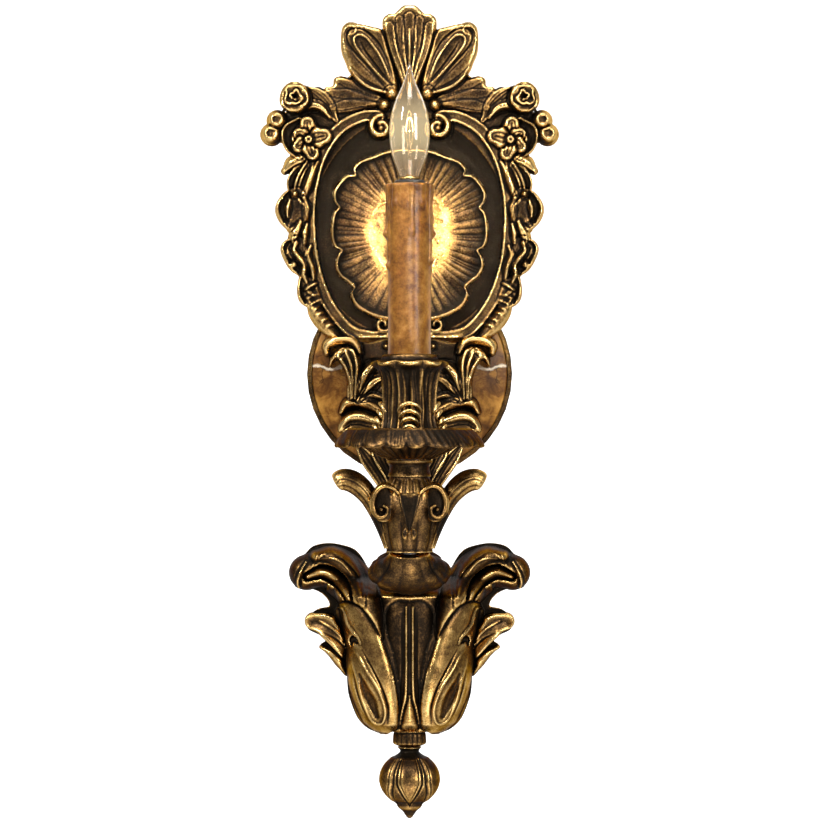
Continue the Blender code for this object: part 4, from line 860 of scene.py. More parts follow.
CALYX_EDGE = [
    (23.5, -126), (27, -117), (33.5, -108.5), (44, -105), (52.5, -104.5), (60, -106.5), (65, -111.5),
    (69.5, -116.5), (72, -123.5), (72, -129), (68.5, -132.5), (59.5, -133), (52.5, -137),
    (49.5, -143), (56.5, -145), (62, -149), (63.5, -154), (62, -158), (56, -161), (52, -164.5),
    (55, -167), (52, -170.5), (46.5, -173), (42, -178.5), (39, -183.5), (38.5, -191), (37.5, -198.5),
    (34, -208.5), (30.5, -214.5), (24.5, -219.5), (15.5, -222), (9, -219.5), (0, -219.5),
]


def calyx(paint):
    """The lower back casting: a half-round cup of broad leaves, whose tips curl outward."""
    r = Relief(75, -222, -101, 0.5, thick=3.4)
    whole = both_halves(CALYX_EDGE)
    r.ground = np.maximum(calyx_ground(r.x, r.z) - 3.0, 0)
    r.plate(whole, 3.4)
    side_leaves(r)
    front_leaves(r)
    mesh = r.solid("calyx_relief", PLATE_BACK, shell=3.0, floor=calyx_floor)
    piece("calyx_relief", mesh, paint, "root", "calyx")


def calyx_ground(x, z):
    """The calyx's half-round body: how far its face is in front of the wall line, by height."""
    share = np.clip((z - CALYX_BOTTOM) / (CALYX_TOP - CALYX_BOTTOM), 0, 1.35)
    width = 24 + 13.5 * np.sin(np.minimum(share * 1.9, 1) * np.pi / 2) + 5 * np.clip(share - 0.45, 0,
                               1) ** 2 / 0.3
    width = np.where(share < 0.08, width * (0.86 + 0.14 * share / 0.08), width)
    deep = width * 0.98
    across = np.clip(np.abs(x) / (width * 1.06), 0, 1)
    body = deep * np.sqrt(1 - across**2)
    fade = np.clip((z - CALYX_TOP) / 14, 0, 1)
    return body * (1 - fade * fade * (3 - 2 * fade))


def calyx_floor(x, z):
    """How far in front of the calyx's back its inside has to stay, for the steel bar."""
    return np.where((np.abs(x) < SLOT_HALF) & (z > -160), SLOT_DEEP, 0.0)


def side_leaves(r):
    """The dark leaves that curl over at the sides, with cut ends, and the small gold pair below."""
    r.leaf([(20.5, -170), (26.5, -146.5), (36, -129), (48.5, -119.5), (63.5, -122.5)],
           [4.0, 9.0, 13.4, 14.4, 11.0], [8, 20, 26, 25, 17], crown=0.45, moat=1.5, tone=-0.26)
    r.leaf([(28.5, -139), (31, -128), (38.5, -118), (48, -112), (57.5, -112)],
           [2.0, 5.0, 6.6, 6.4, 4.0], [24, 29, 30, 29, 25], crown=0.4, tone=-0.26)
    r.leaf([(35.5, -141.5), (38.5, -132.5), (44.5, -125.5), (53, -121.5), (62.5, -124.5)],
           [1.6, 3.6, 4.6, 4.4, 2.8], [21, 24, 24, 21, 16], crown=0.5, moat=1.4, cover=True, tone=-0.1)
    r.leaf([(63.5, -115.5), (66.5, -121), (68.5, -127), (68, -131.5)], [0.8, 1.4, 1.6, 0.9],
           [16, 18, 18, 16], moat=1.4, tone=0.08)
    for route in (
        [(35.5, -121.5), (41, -115), (47.5, -112.5), (53.5, -113.5)],
        [(56, -109), (57.5, -114.5), (60.5, -119)],
        [(51, -109.5), (55, -112), (56, -116)],
    ):
        r.line(route, 0.7, [0.3, 1.5, 1.2, 0.3])
    r.line([(28, -134), (32, -123), (39.5, -114.5), (48, -109)], 0.7, [-0.3, -1.4, -1.4, -0.3])
    r.leaf([(38.5, -184), (43.5, -176.5), (48.5, -171.5), (54.5, -168.5)], [2.6, 3.8, 3.2, 1.4],
           [9, 14, 13.4, 10], crown=0.5, moat=1.4, tone=0.04)
    r.leaf([(33, -179.5), (38.5, -170), (44.5, -161), (52, -154.5), (59.5, -152.5)],
           [2.8, 5.6, 7.4, 7.8, 5.4], [10, 17, 18.6, 17.4, 13], cup=0.25, rim=0.9, moat=1.6, tone=0.1)
    r.line([(31.5, -177), (39, -165), (46.5, -157), (55.5, -152)], 0.9, [0.4, 1.5, 1.5, 0.6])
    r.line([(34, -176), (40.5, -167.5), (46.5, -162), (52, -159.5)], 0.7, [-0.3, -1.3, -1.3, -0.3])


def front_leaves(r):
    """The broad gold leaves in front, each with a long looped groove, and the pair of ribs between them."""
    left = [
        (45.5, -145), (42, -139.5), (37.5, -138), (33, -139), (27.5, -143), (20, -153.5),
        (14, -168.5), (9.5, -184), (6.5, -201.5), (6.5, -212.5), (9, -218.5), (15.5, -220.5),
        (23.5, -219), (30, -215), (34, -207.5), (37, -197.5), (38.5, -186.5), (41, -178),
        (39.5, -168.5), (42.5, -157), (45.5, -151),
    ]
    r.pillow(left, 5.8, 8.5, base=3.4, moat=1.8, cover=True, tone=0.26)
    lip = [(44, -144), (41, -145), (38.5, -153.5), (32, -161), (30, -164.5)]
    r.leaf(lip, [0.7, 1.5, 1.7, 1.5, 0.6], [9.2, 10.4, 10.6, 10.0, 9.0], tone=0.16)
    r.leaf([(36, -166), (34.5, -162), (31.5, -164.5)], [0.5, 1.6, 0.5], [5.0, 5.6, 5.0], moat=0.8,
           cover=True, tone=-0.3)
    slot = [(30.5, -183), (27, -192), (23, -201), (20, -209)]
    r.line(slot, [1.2, 3.0, 4.0, 2.0], [-1.0, -3.4, -3.8, -2.0])
    outer = [
        (35, -168), (31.5, -171.5), (26.5, -180), (19, -192), (15, -203.5), (16, -212), (20, -214),
        (24.5, -210.5), (28.5, -201), (31.5, -189), (34.5, -179), (36, -172),
    ]
    r.line(outer, 0.85, [0.3, 1.4, 1.6, 1.6, 1.5, 1.4, 1.2, 0.3])
    r.line([(29, -168), (23.5, -177.5), (16.5, -191.5), (13, -203.5), (13.5, -213)], 0.75,
           [-0.4, -1.6, -1.9, -1.8, -0.6])
    r.line([(26.5, -142.5), (20, -153.5), (13.5, -168), (10, -181.5), (7.5, -198.5)], 0.8,
           [0.5, 1.5, 1.4, 1.2, 0.3])
    r.line([(34.5, -181.5), (32.5, -192.5), (29, -203.5), (24, -212)], 0.8, [-0.4, -1.7, -1.7, -0.4])
    centre = both_halves([
        (0, -138), (8, -138), (14.5, -145), (13.5, -158.5), (10, -169.5), (7, -186.5), (6, -201),
        (7, -213), (5, -217.5), (0, -217.5),
    ])
    r.pillow(centre, 2.2, 6.0, base=1.0, moat=1.0, cover=True, tone=-0.13)
    rib = [(2, -141.5), (2, -162), (2, -179), (2.5, -196), (4.5, -206), (6, -215)]
    r.line(rib, [0.9, 0.95, 1.0, 1.1, 1.3, 1.3], [1.4, 1.7, 1.8, 1.9, 1.9, 1.6])
    r.line([(4.5, -145), (4.5, -162), (4.5, -179), (6, -195)], 0.7, [-0.4, -1.0, -1.0, -0.3])
    r.leaf([(0, -195), (0, -201), (0, -207), (0, -215)], [0.8, 2.8, 4.4, 5.6], [2.6, 3.8, 4.6, 4.8],
           moat=0.3, cover=True, tone=0.26)


# ---------------------------------------------------------------- the dish, the marble and the finial


def medallion_dish(paint):
    """The scalloped oval dish: a wavy rolled rim, a fluted wall and a smooth hollow middle."""
    rim = [
        (0, 138.5), (7, 138.5), (15, 137), (23, 134), (31, 131), (35, 126.5), (34.5, 123),
        (39.5, 122), (43.5, 118), (47, 112.5), (47, 107), (44.5, 102.5), (47, 99), (48.5, 92),
        (48.5, 83.5), (46.5, 78), (43, 75.5), (45, 71.5), (46, 65.5), (43, 59.5), (38.5, 56),
        (35, 52), (36.5, 48), (33.5, 41.5), (28, 37.5), (20, 34), (10, 32), (0, 31.5),
    ]
    rim = np.array(rim, float) - (0, FRAME_Z)
    full = spline(np.vstack([rim, rim[-2:0:-1] * (-1, 1)]), 14, closed=True)
    count = len(full)
    angle = np.arctan2(full[:, 1], full[:, 0])
    shares = np.concatenate([np.linspace(0.0, 0.5, 14), np.linspace(0.52, 0.94, 44),
                            np.linspace(0.95, 1.0, 9)])
    even = np.stack([43.0 * np.cos(angle), 47.5 * np.sin(angle)], 1)
    rows = []
    for share in shares:
        wavy = np.clip((share - 0.5) / 0.45, 0, 1) ** 1.5
        place = share * (even * (1 - wavy) + full * wavy)
        bowl = 1.2 + 4.8 * np.clip((share - 0.3) / 0.62, 0, 1) ** 1.6
        turn = angle + 0.03 * np.sin(5 * angle + 2) + 0.02 * np.sin(11 * angle)
        flute = np.abs(np.sin(28 * turn)) ** 0.8
        fold = np.abs(np.sin(7 * turn + 0.4)) ** 0.5
        reach = np.clip((share - 0.56) / 0.16, 0, 1) * np.clip((0.965 - share) / 0.04, 0, 1)
        height = bowl - (0.75 * (1 - flute) + 1.3 * (1 - fold)) * reach
        height = height + 1.7 * bump(share, 0.965, 0.022) - 1.4 * np.clip((share - 0.985) / 0.015, 0, 1)
        rows.append(np.stack([place[:, 0], -(DISH_LOW[1] + 1.4 + height), place[:, 1] + FRAME_Z], 1))
    front = np.array(rows)
    back = front[[0, 24, 44, 56, 66]][::-1].copy()
    back[:, :, 1] += 1.3
    back[0, :, 1] = front[-1, :, 1] + 0.6
    back[-1, :, 1] = front[0, :, 1] + 1.8
    mesh = grid_mesh("dish", np.concatenate([front, back]), wrap_cols=True)
    # Painted light: the smooth middle is set bright for the bulb's glow in the hollow; the fluted wall is
    # set darker.
    tones = 0.34 * (1 - ramp(shares, 0.5, 0.72)) - 0.22 * ramp(shares, 0.72,
                    0.93) * (1 - ramp(shares, 0.94, 0.96))
    toned(mesh, np.repeat(tones, count))
    close_poles(mesh)
    piece("medallion_dish_relief", mesh, paint, "root", "medallion_dish")


def marble_disc(paint):
    """The polished disc, turned about a line that points out from the wall, with eased edges."""
    low, high = box_mm("marble_disc")
    edge, back, front = high[0], low[1], high[1]
    outline = [(5.6, back), (edge - 0.5, back), (edge, back + 0.5), (edge, front - 1.1),
                (edge - 0.3, front - 0.5),
               (edge - 1.1, front), (5.6, front)]
    line = np.array(outline, float)
    angle = np.linspace(0, 2 * np.pi, 256, endpoint=False)
    angles, radius = np.meshgrid(angle, line[:, 0])
    out = np.repeat(line[:, 1:2], len(angle), 1)
    grid = np.stack([radius * np.sin(angles), -out, radius * np.cos(angles)], -1)
    mesh = grid_mesh("marble", grid, wrap_rows=True)
    close_poles(mesh)
    piece("marble_slab", mesh, paint, "root", "marble_disc", sharp=35, wear_and_shade=False)


def finial(paint):
    """The ball drop with its collar: pointed petals wrap the ball and its tip."""
    low, high = FINIAL_LOW[2] - 0.8, FINIAL_HIGH[2]
    middle = low + 24.1
    ball = [(18.6 * math.cos(a), middle + FINIAL_R * math.sin(a)) for a in np.radians(np.arange(-58, 60,
             6))]
    tip = [(0.01, low), (1.4, low + 0.5), (3.0, low + 2.6), (4.6, low + 4.8), (7.0, low + 6.8)]
    neck = [(7.4, middle + 15.6), (5.8, middle + 17.2), (6.6, high - 1.4), (7.4, high - 0.4),
             (2.8, high)]

    def petals(angle, share, radius, z):
        turn = np.abs((angle * 6 / (2 * np.pi) + 0.5) % 1 - 0.5) * 2
        height = (z - middle) / FINIAL_R
        body = ramp(z, low + 7, low + 9) * (1 - ramp(z, middle + 12.4, middle + 14.4))
        wide = 0.84 * np.clip((height + 0.92) / 0.86, 0, 1) ** 0.62
        edge = turn - wide
        outer = 1.5 * bump(edge, 0.05, 0.055) * body
        inner = 0.9 * bump(edge, -0.24, 0.05) * body * np.clip(wide - 0.3, 0, 0.2) * 5
        swell = 1.3 * ramp(-edge, 0.02, 0.2) * body
        ring = 0.8 * bump(z, middle + 13.4, 0.8)
        return swell - outer - inner + ring - 0.6 * body, np.zeros_like(z)

    mesh = lathe("finial_ball", tip + ball + neck, 180, FINIAL_OUT, petals, smooth=4)
    # Painted shade: the ball darkens towards its top, under the collar and the calyx.
    shade(mesh, lambda x, out, z, radius: -0.08 - 0.12 * ramp(z, middle + 2, middle + 12))
    piece("finial_ball", mesh, paint, "root", "finial")
    low, high = heights_of("finial_collar")
    high += 2.6
    outline = lifted([(3, 0), (6.8, 0), (8.6, 0.6), (10, 1.6), (10.2, 3.4)], low)
    outline += lifted([(10.0, -2.9), (9.6, -1.4), (10.4, -0.8), (10.2, 0), (3, 0)], high)

    def beads(angle, share, radius, z):
        body = ramp(radius, 8, 9.8)
        return body * 0.45 * (np.abs(np.cos(9 * angle)) ** 0.6 - 0.6), np.zeros_like(z)

    mesh = lathe("finial_cup", outline, 144, FINIAL_OUT, beads, smooth=5, closed=True)
    # Painted highlight: a brighter band round the collar's lower edge.
    shade(mesh, lambda x, out, z, radius: -0.12 + 0.2 * bump(z, low + 1, 1.0))
    piece("finial_cup", mesh, paint, "root", "finial_collar")


# ---------------------------------------------------------------- the column and the arm


def drip_pan(paint):
    """The pan: gadroons below, drooping ribbed petals round the edge, and a bead on its crest."""
    foot, crest = heights_of("drip_pan")
    under = [
        (PIPE_BORE, 0.2), (12.8, 0.2), (14.5, 1.0), (19, 3.2), (25, 6.4), (30, 9.6), (33, 12.0),
        (36, 13.2), (39, 11.4), (41.6, 9.0), (43.2, 7.9), (44.5, 8.4), (44.4, 10.2), (42.6, 13.2),
        (40, 16.0), (37.6, 17.8),
    ]
    hollow = [(33.4, 16.4), (31, 13.0), (28, 9.8), (22, 8.2), (14, 7.6), (PIPE_BORE, 7.4)]
    outline = lifted(under, foot) + lifted([(36.0, -0.3), (34.6, -0.6)], crest) + lifted(hollow, foot)

    def petals(angle, share, radius, z):
        edge = ramp(radius, 35.5, 41)
        under = (1 - ramp(share, 0.22, 0.34)) * ramp(radius, 13, 16)
        turn = angle + 0.07 * np.sin(3 * angle + 1) + 0.05 * np.sin(8 * angle)
        petal = np.abs(np.sin(9 * turn)) ** 0.6
        rib = np.abs(np.sin(36 * turn + 2.4 * np.cos(9 * turn) + 0.25 * z)) ** 0.8
        dr = edge * (1.7 * petal - 1.7) + edge * 0.4 * (rib - 0.9)
        dz = edge * (-2.3 * petal + 1.2) + 0.25 * edge * rib
        crest_bead = 0.35 * bump(radius, 36, 0.9) * ramp(z, foot + 15, foot + 17)
        gadroon = np.abs(np.sin(14 * angle)) ** 0.7
        dr = dr + under * 1.1 * (gadroon - 0.6)
        dz = dz - under * 1.3 * (gadroon - 0.6) + crest_bead
        return dr, dz

    mesh = lathe("pan", outline, 320, COLUMN_OUT, petals, smooth=3, closed=True)
    # Painted highlight: the crest is set bright; the outer band with the drooping petals is set darker.
    shade(mesh, lambda x, out, z, radius: np.where(z > crest - 1.0, 0.14, -0.16 * ramp(radius, 30, 36)))
    piece("drip_pan_cast", mesh, paint, "root", "drip_pan")
    low, high = heights_of("pan_collar")
    outline = lifted([(PIPE_BORE, 0), (12.2, 0), (12.7, 0.6), (12.5, 1.4), (11.9, 3.4)], low)
    outline += lifted(
        [(11.8, -3.6), (12.4, -2.4), (13.4, -1.6), (13.5, -0.9), (12.8, -0.1), (PIPE_BORE, -0.1)], high)
    mesh = lathe("collar", outline, 128, COLUMN_OUT, smooth=4, closed=True)
    piece("pan_collar_cast", mesh, paint, "root", "pan_collar")


def candle_cup(paint):
    """The cup: leaf tips under the rim, a fluted waist, and a spreading foot with shell scrolls."""
    foot, top = heights_of("candle_cup")
    outline = lifted([
        (PIPE_BORE, 0), (17, 0), (20.5, 1.0), (22.2, 3.4), (21.4, 6.6), (18.4, 9.6), (16.4, 13),
        (15.4, 18), (15.2, 25), (15.6, 33), (16.6, 40), (18.4, 45), (20.6, 48.4), (21.6, 50.2),
        (21.0, 51.4), (18.6, 51.6), (16.6, 52.4),
    ], foot)
    outline += lifted([
        (16.2, -0.8), (15.2, 0), (13.1, 0), (13.1, -3.2), (8.9, -3.2), (8.9, -7.8), (PIPE_BORE, -7.8),
    ], top)

    def leaves(angle, share, radius, z):
        z = z - foot
        outer = ramp(radius, 14, 15)
        turn = np.abs((angle * 8 / (2 * np.pi)) % 1 - 0.5) * 2
        waist = ramp(z, 7, 12) * (1 - ramp(z, 42, 48)) * outer
        drift = angle + 0.05 * np.sin(0.16 * z + 2 * angle)
        fold = 1.3 * bump(turn, 0, 0.16) - 1.2 * bump(turn, 1, 0.14)
        fold = fold + 0.5 * np.sin(16 * drift) + 0.3 * np.sin(27 * drift + 1)
        veins = 0.16 * np.sin(53 * drift)
        tip = bump(z, 50, 2.6) * outer
        leaf = np.abs(np.cos(4 * angle)) ** 1.2
        spread = bump(z, 3.5, 4.5) * outer
        lobe = np.abs(np.cos(6 * angle))
        dr = waist * (fold + veins) + tip * (2.4 * leaf - 0.8) + spread * 1.6 * (lobe - 0.5)
        return dr, tip * (-1.2 * leaf) + spread * 0.6 * lobe

    shapes = [lathe("cup", outline, 256, COLUMN_OUT, leaves, smooth=4, closed=True)]
    for quarter in range(4):
        shapes += shell_scroll(quarter * math.pi / 2, foot)
    mesh = joined("candle_cup_cast", shapes)
    shade(mesh, lambda x, out, z, radius: 0.1 - 0.1 * ramp(z, foot + 36, foot + 46))
    piece("candle_cup_cast", mesh, paint, "root", "candle_cup")


def shell_scroll(turn, foot):
    """Stacked crescents on the cup's foot, each smaller and further out than the one above it."""
    shapes = []
    for k in range(5):
        size = 6.6 - 0.95 * k
        middle = foot + 20.5 - 3.7 * k
        reach = 15.6 + 1.25 * k
        route = []
        for degrees in range(-15, 196, 15):
            a = math.radians(degrees)
            x, z = size * math.cos(a), middle + size * 0.8 * math.sin(a)
            out = math.sqrt(max(reach**2 - x**2, 1)) + 1.3 * math.sin(a)
            spun = (x * math.cos(turn) + out * math.sin(turn), out * math.cos(turn) - x * math.sin(turn))
            route.append((spun[0], COLUMN_OUT + spun[1], z))

        def crescent(share, angle):
            size = 0.35 + 1.05 * np.sin(np.pi * share) ** 0.8 + 0 * angle
            return size * 1.25, size

        shapes.append(sweep("crescent", route, 12, crescent,
                      side=(math.sin(turn), -math.cos(turn), 0.3), fine=3))
    return shapes


def urn(paint):
    """The vase: volutes in front and behind, a leaf between them, and a ribbed horn leaf at each side."""
    foot, top = heights_of("urn")
    outline = lifted([
        (PIPE_BORE, 0), (13.2, 0), (13.8, 2), (15.4, 8), (16.6, 15), (17.2, 22), (17.4, 28), (16.6, 34),
        (14.6, 39), (12.6, 42.4), (11.8, 44.4),
    ], foot)
    outline += lifted([(12.4, -0.6), (11.9, 0), (PIPE_BORE, 0)], top)

    def flutes(angle, share, radius, z):
        z = z - foot
        outer = ramp(radius, 9, 11)
        lower = (1 - ramp(z, 16, 22)) * outer
        upper = ramp(z, 30, 36) * (1 - ramp(z, 42, 44.6)) * outer
        flute = np.abs(np.cos(5 * angle)) ** 0.8
        fine = np.abs(np.cos(10 * angle)) ** 0.8
        return lower * 1.3 * (flute - 0.7) + upper * 0.9 * (fine - 0.7), np.zeros_like(z)

    shapes = [lathe("vase", outline, 200, COLUMN_OUT, flutes, smooth=4, closed=True)]
    for sign in (-1, 1):
        for facing in (-1, 1):
            shapes += urn_volute(sign, facing)
        shapes += horn_leaf(sign)
    for facing in (-1, 1):
        shapes += urn_front_leaf(facing)
    mesh = joined("urn_cast", shapes)
    shade(mesh, lambda x, out, z, radius: np.where(np.abs(x) > 22.6, 0.16, np.where(radius > 17.5,
          -0.36, 0.08)))
    piece("urn_cast", mesh, paint, "root", "urn")


def urn_volute(sign, facing):
    """A tall scroll: a ribbon that winds inward on the urn's face to a ball, low in its coil."""
    front = COLUMN_OUT + facing * 14.6
    coil = [
        (6.4, -71.4), (9.4, -68.6), (13.4, -67.0), (17.6, -68.4), (20.6, -72.8), (21.5, -78.4),
        (20.0, -83.4), (16.6, -85.4), (13.4, -83.6), (13.0, -80.2), (15.2, -78.4),
    ]
    route = []
    for k, (x, z) in enumerate(coil):
        rise = 2.6 * k / (len(coil) - 1) - 3.2 * ((x - 8) / 14) ** 2
        route.append((sign * x, front + facing * rise, z))

    def ribbon(share, angle):
        band = 1.1 + 0.9 * np.sin(np.pi * np.clip(share * 1.25, 0, 1)) ** 0.7
        return 3.8 - 1.0 * share + 0 * angle, band + 0.35 * np.abs(np.cos(angle)) ** 6

    def eye(share, angle):
        size = 1.7 * np.sqrt(1 - np.clip(share, 0, 0.98) ** 4) + 0 * angle
        return size, size

    def web(share, angle):
        swell = np.sin(np.pi * np.clip(0.08 + share * 0.86, 0, 1)) ** 0.6
        return 7.6 * swell + 0 * angle, 3.0 + 0 * angle

    shapes = [sweep("coil", route, 14, ribbon, side=(0, 1, 0), fine=5)]
    low, high = (sign * 16.4, front - facing * 4, -80.8), (sign * 16.4, front + facing * 2.8, -80.8)
    shapes.append(sweep("eye", [low, high], 20, eye, side=(1, 0, 0)))
    back = [(sign * 15, front - facing * 3.4, z) for z in (-68, -74, -80, -88)]
    shapes.append(sweep("web", back, 40, web, side=(1, 0, 0)))
    return shapes


def urn_front_leaf(facing):
    """The pointed leaf between the volutes, with a small pair of drops below it."""

    def blade(share, angle):
        wide = 6.6 * (1 - share**1.3) + 0.3
        rim = 1.5 * bump(np.abs(np.cos(angle)), 0.86, 0.1)
        return wide + 0 * angle, 1.6 + rim - 0.5 * share

    def drop(share, angle):
        size = 1.9 * np.sin(np.pi * np.clip(0.06 + share * 0.9, 0, 1)) ** 0.7 + 0 * angle
        return size, size

    ridge = ((15.2, -71.5), (17.6, -79), (18.2, -86), (16.6, -93.5))
    route = [(0, COLUMN_OUT + facing * reach, z) for reach, z in ridge]
    shapes = [sweep("blade", route, 36, blade, side=(1, 0, 0))]
    for sign in (-1, 1):
        steps = ((1.0, 15.4, -91), (2.6, 15.8, -95), (2.0, 15.0, -99))
        route = [(sign * x, COLUMN_OUT + facing * reach, z) for x, reach, z in steps]
        shapes.append(sweep("drop", route, 20, drop, side=(1, 0, 0)))
    return shapes


def horn_leaf(sign):
    """The curled leaf at the urn's side: smooth on top, ribbed below, with a rounded end that droops."""
    route = [
        (12.5, -104), (14.5, -96.5), (17.4, -87.6), (21, -79), (24.6, -72.6), (29.4, -67.4),
        (34.4, -64.2), (39.6, -63.4), (44.2, -65.8),
    ]
    path = [(sign * x, COLUMN_OUT, z) for x, z in route]

    def leaf(share, angle):
        over = np.sin(angle)
        ribs = np.where(over > -0.2, 0.9 * np.abs(np.sin(5 * angle)) - 0.3, 0.0)
        crease = -0.7 * bump(over, -0.2, 0.12)
        blunt = np.sqrt(np.clip(1 - ((share - 0.93) / 0.075).clip(0) ** 2, 0.02, 1))
        deep = sampled([2.0, 2.8, 3.8, 4.8, 5.6, 6.2, 6.4, 6.2, 5.6], share) + ribs + crease
        wide = sampled([6.0, 6.8, 7.6, 8.4, 8.8, 8.6, 8.0, 7.2, 6.0], share) + ribs
        return wide * blunt, deep * blunt

    return [sweep("horn", path, 72, leaf, side=(0, sign, 0))]


def arm_casting(paint):
    """The leaf-wrapped elbow: lobed sides, a smooth brow in front and a foot on the steel bar."""
    low, high = box_mm("arm_casting")
    arm_z = -120.5
    bend = [(36, -0.2), (48, 0), (64, 0), (78, 0.6), (88, 3.4), (93.6, 8.4)]
    route = [(0, low[1], arm_z), *((0, out, arm_z + rise) for out, rise in bend),
              (0, COLUMN_OUT, high[2])]
    wide_along = [11.5, 10, 12, 17, 22.5, 24.3, 24.0, 20, 14.6, 11.6]
    deep_along = [12.8, 9, 9.2, 11, 12.6, 13, 13.4, 14, 14.2, 14.2]

    def lobes(share, angle):
        wide = sampled(wide_along, share)
        deep = sampled(deep_along, share)
        body = ramp(share, 0.2, 0.45) * (1 - ramp(share, 0.86, 0.97))
        lobe = np.abs(np.cos(angle * 4 + 0.4)) ** 0.7
        rib = 0.8 * (lobe - 0.7) * body
        rib = rib + 0.5 * body * np.abs(np.sin(share * 26)) * np.abs(np.cos(angle)) ** 4
        keel = 1.6 * body * np.clip(-np.sin(angle), 0, 1) ** 6
        groove = -0.9 * body * bump(np.abs(np.sin(angle)), 0.55, 0.06)
        return wide + rib + groove, deep + rib + groove + keel

    mesh = sweep("arm", route, 160, lobes, side=(1, 0, 0))
    close_poles(mesh)
    # Painted highlight: a bright V band along the lower edge of the brow in front; the rest is set darker.
    shade(mesh, lambda x, out, z, radius: -0.2 + 0.62 * bump(z + 134.4 - 0.28 * np.abs(x), 0,
          2.2) * (out > 90))
    piece("arm_cast", mesh, paint, "root", "arm_casting")


# ---------------------------------------------------------------- candle and bulb


# Drips: degrees from the front, the height where the drop ends above the sleeve's foot, half width, size
DRIPS = [
    (-84, 74.0, 3.0, 3.4),
    (-72, 55.0, 2.2, 2.4),
    (-44, 92.0, 2.6, 0.9),
    (6, 75.0, 2.2, 1.5),
    (38, 92.0, 2.8, 0.9),
    (72, 58.0, 2.2, 2.6),
    (88, 74.0, 3.0, 3.2),
    (140, 70.0, 3.0, 1.6),
    (186, 84.0, 3.2, 1.4),
    (228, 64.0, 2.6, 1.5),
]


def candle_sleeve(paint):
    """The sleeve, with drips run down from its top edge."""
    foot, top = SLEEVE_LOW[2], SLEEVE_HIGH[2]
    outer = [(SLEEVE_R - 0.05, foot), (SLEEVE_R, foot + 0.4)]
    outer += [(SLEEVE_R, foot + h) for h in np.arange(2, top - foot - 1, 0.8)]
    outer += [(12.6, top - 0.5), (12.0, top), (11.2, top - 0.2), (10.6, top - 0.8), (10.6, foot)]

    def drips(angle, share, radius, z):
        outside = ramp(radius, 11.0, 12.4)
        grown = np.zeros_like(z)
        for turn, end, half, size in DRIPS:
            gap = (angle - math.radians(turn) + np.pi) % (2 * np.pi) - np.pi
            across = gap * SLEEVE_R
            height = z - foot - end
            drop = np.exp(-((height / (half * 1.25)) ** 2)) * size
            stream = ramp(height, -half * 0.4, half * 0.6) * size * 0.42
            wide = half * (0.72 + 0.28 * np.exp(-((height / (half * 1.6)) ** 2)))
            below = np.clip(1 + height / (half * 1.5), 0, 1) ** 0.5
            dome = np.clip(1 - (across / wide) ** 2, 0, 1) ** 0.6
            grown = np.maximum(grown, dome * np.maximum(drop, stream) * np.where(height < 0, below, 1))
        lip = 0.5 * ramp(z, top - 6, top - 1) * (0.6 + 0.4 * np.sin(3 * angle + 1) * np.sin(5 * angle))
        uneven = 0.07 * np.sin(z * 0.31 + 2 * np.sin(angle)) * np.sin(3 * angle + z * 0.05)
        return (grown + lip + uneven) * outside, np.zeros_like(z)

    mesh = lathe("sleeve", outer, 288, COLUMN_OUT, drips, smooth=1, closed=True)
    piece("candle_sleeve_dripped", mesh, paint, "sleeve", "candle_sleeve", wear_and_shade=False)


def painted_glow_of(mesh, middle, reach):
    """Stores how strongly each point of the glass gets the painted glow: most at the filament's height."""
    values = [float(bump(v.co.z / MM, middle, reach)) for v in mesh.vertices]
    store(mesh, "painted_glow", values)


def bulb_glass(glass):
    """The flame bulb's thin glass, and the glass mount inside it."""
    low, tip = heights_of("bulb_glass")
    base_top = low + 6
    tall = tip - base_top
    flame = [
        (0.0, 0.5), (0.06, 0.62), (0.12, 0.75), (0.18, 0.86), (0.24, 0.93), (0.31, 0.98), (0.38, 1.0),
        (0.45, 0.985), (0.52, 0.94), (0.58, 0.87), (0.64, 0.765), (0.70, 0.63), (0.76, 0.48),
        (0.82, 0.33), (0.88, 0.21), (0.94, 0.12), (0.98, 0.07), (1.0, 0.005),
    ]
    skin = [(BULB_R * r, base_top + tall * h) for h, r in flame]
    lining = [(max(BULB_R * r - 0.5, 0.005), base_top + tall * min(h, 0.978)) for h,
               r in flame[:-1]][::-1]
    neck = [(4.7, low), (5.1, low + 0.2), (5.1, base_top - 1.2)]
    outline = [*neck, *skin, (0.005, base_top + tall * 0.975), *lining, (4.6, base_top - 1.2)]
    mesh = lathe("glass", outline, 96, COLUMN_OUT, smooth=3, closed=True)
    painted_glow_of(mesh, base_top + 0.42 * tall, 0.34 * tall)
    piece("bulb_envelope", mesh, glass, "bulb", "bulb_glass", wear_and_shade=False)
    low, high = heights_of("bulb_stem")
    stem = [
        (0.005, 0), (2.5, 0), (2.5, 6), (2.0, 10), (1.2, 13.5), (1.0, 17), (1.0, 23), (1.5, 25),
        (1.2, 26.2),
    ]
    outline = lifted(stem, low) + [(0.005, high)]
    mesh = lathe("stem", outline, 40, COLUMN_OUT, smooth=4)
    piece("bulb_mount", mesh, glass, "bulb", "bulb_stem", wear_and_shade=False)


def wire(name, route, thick, side):
    """A round wire along a route."""
    return sweep(name, route, 10, lambda share, angle: (thick + 0 * angle, thick + 0 * angle), side=side)


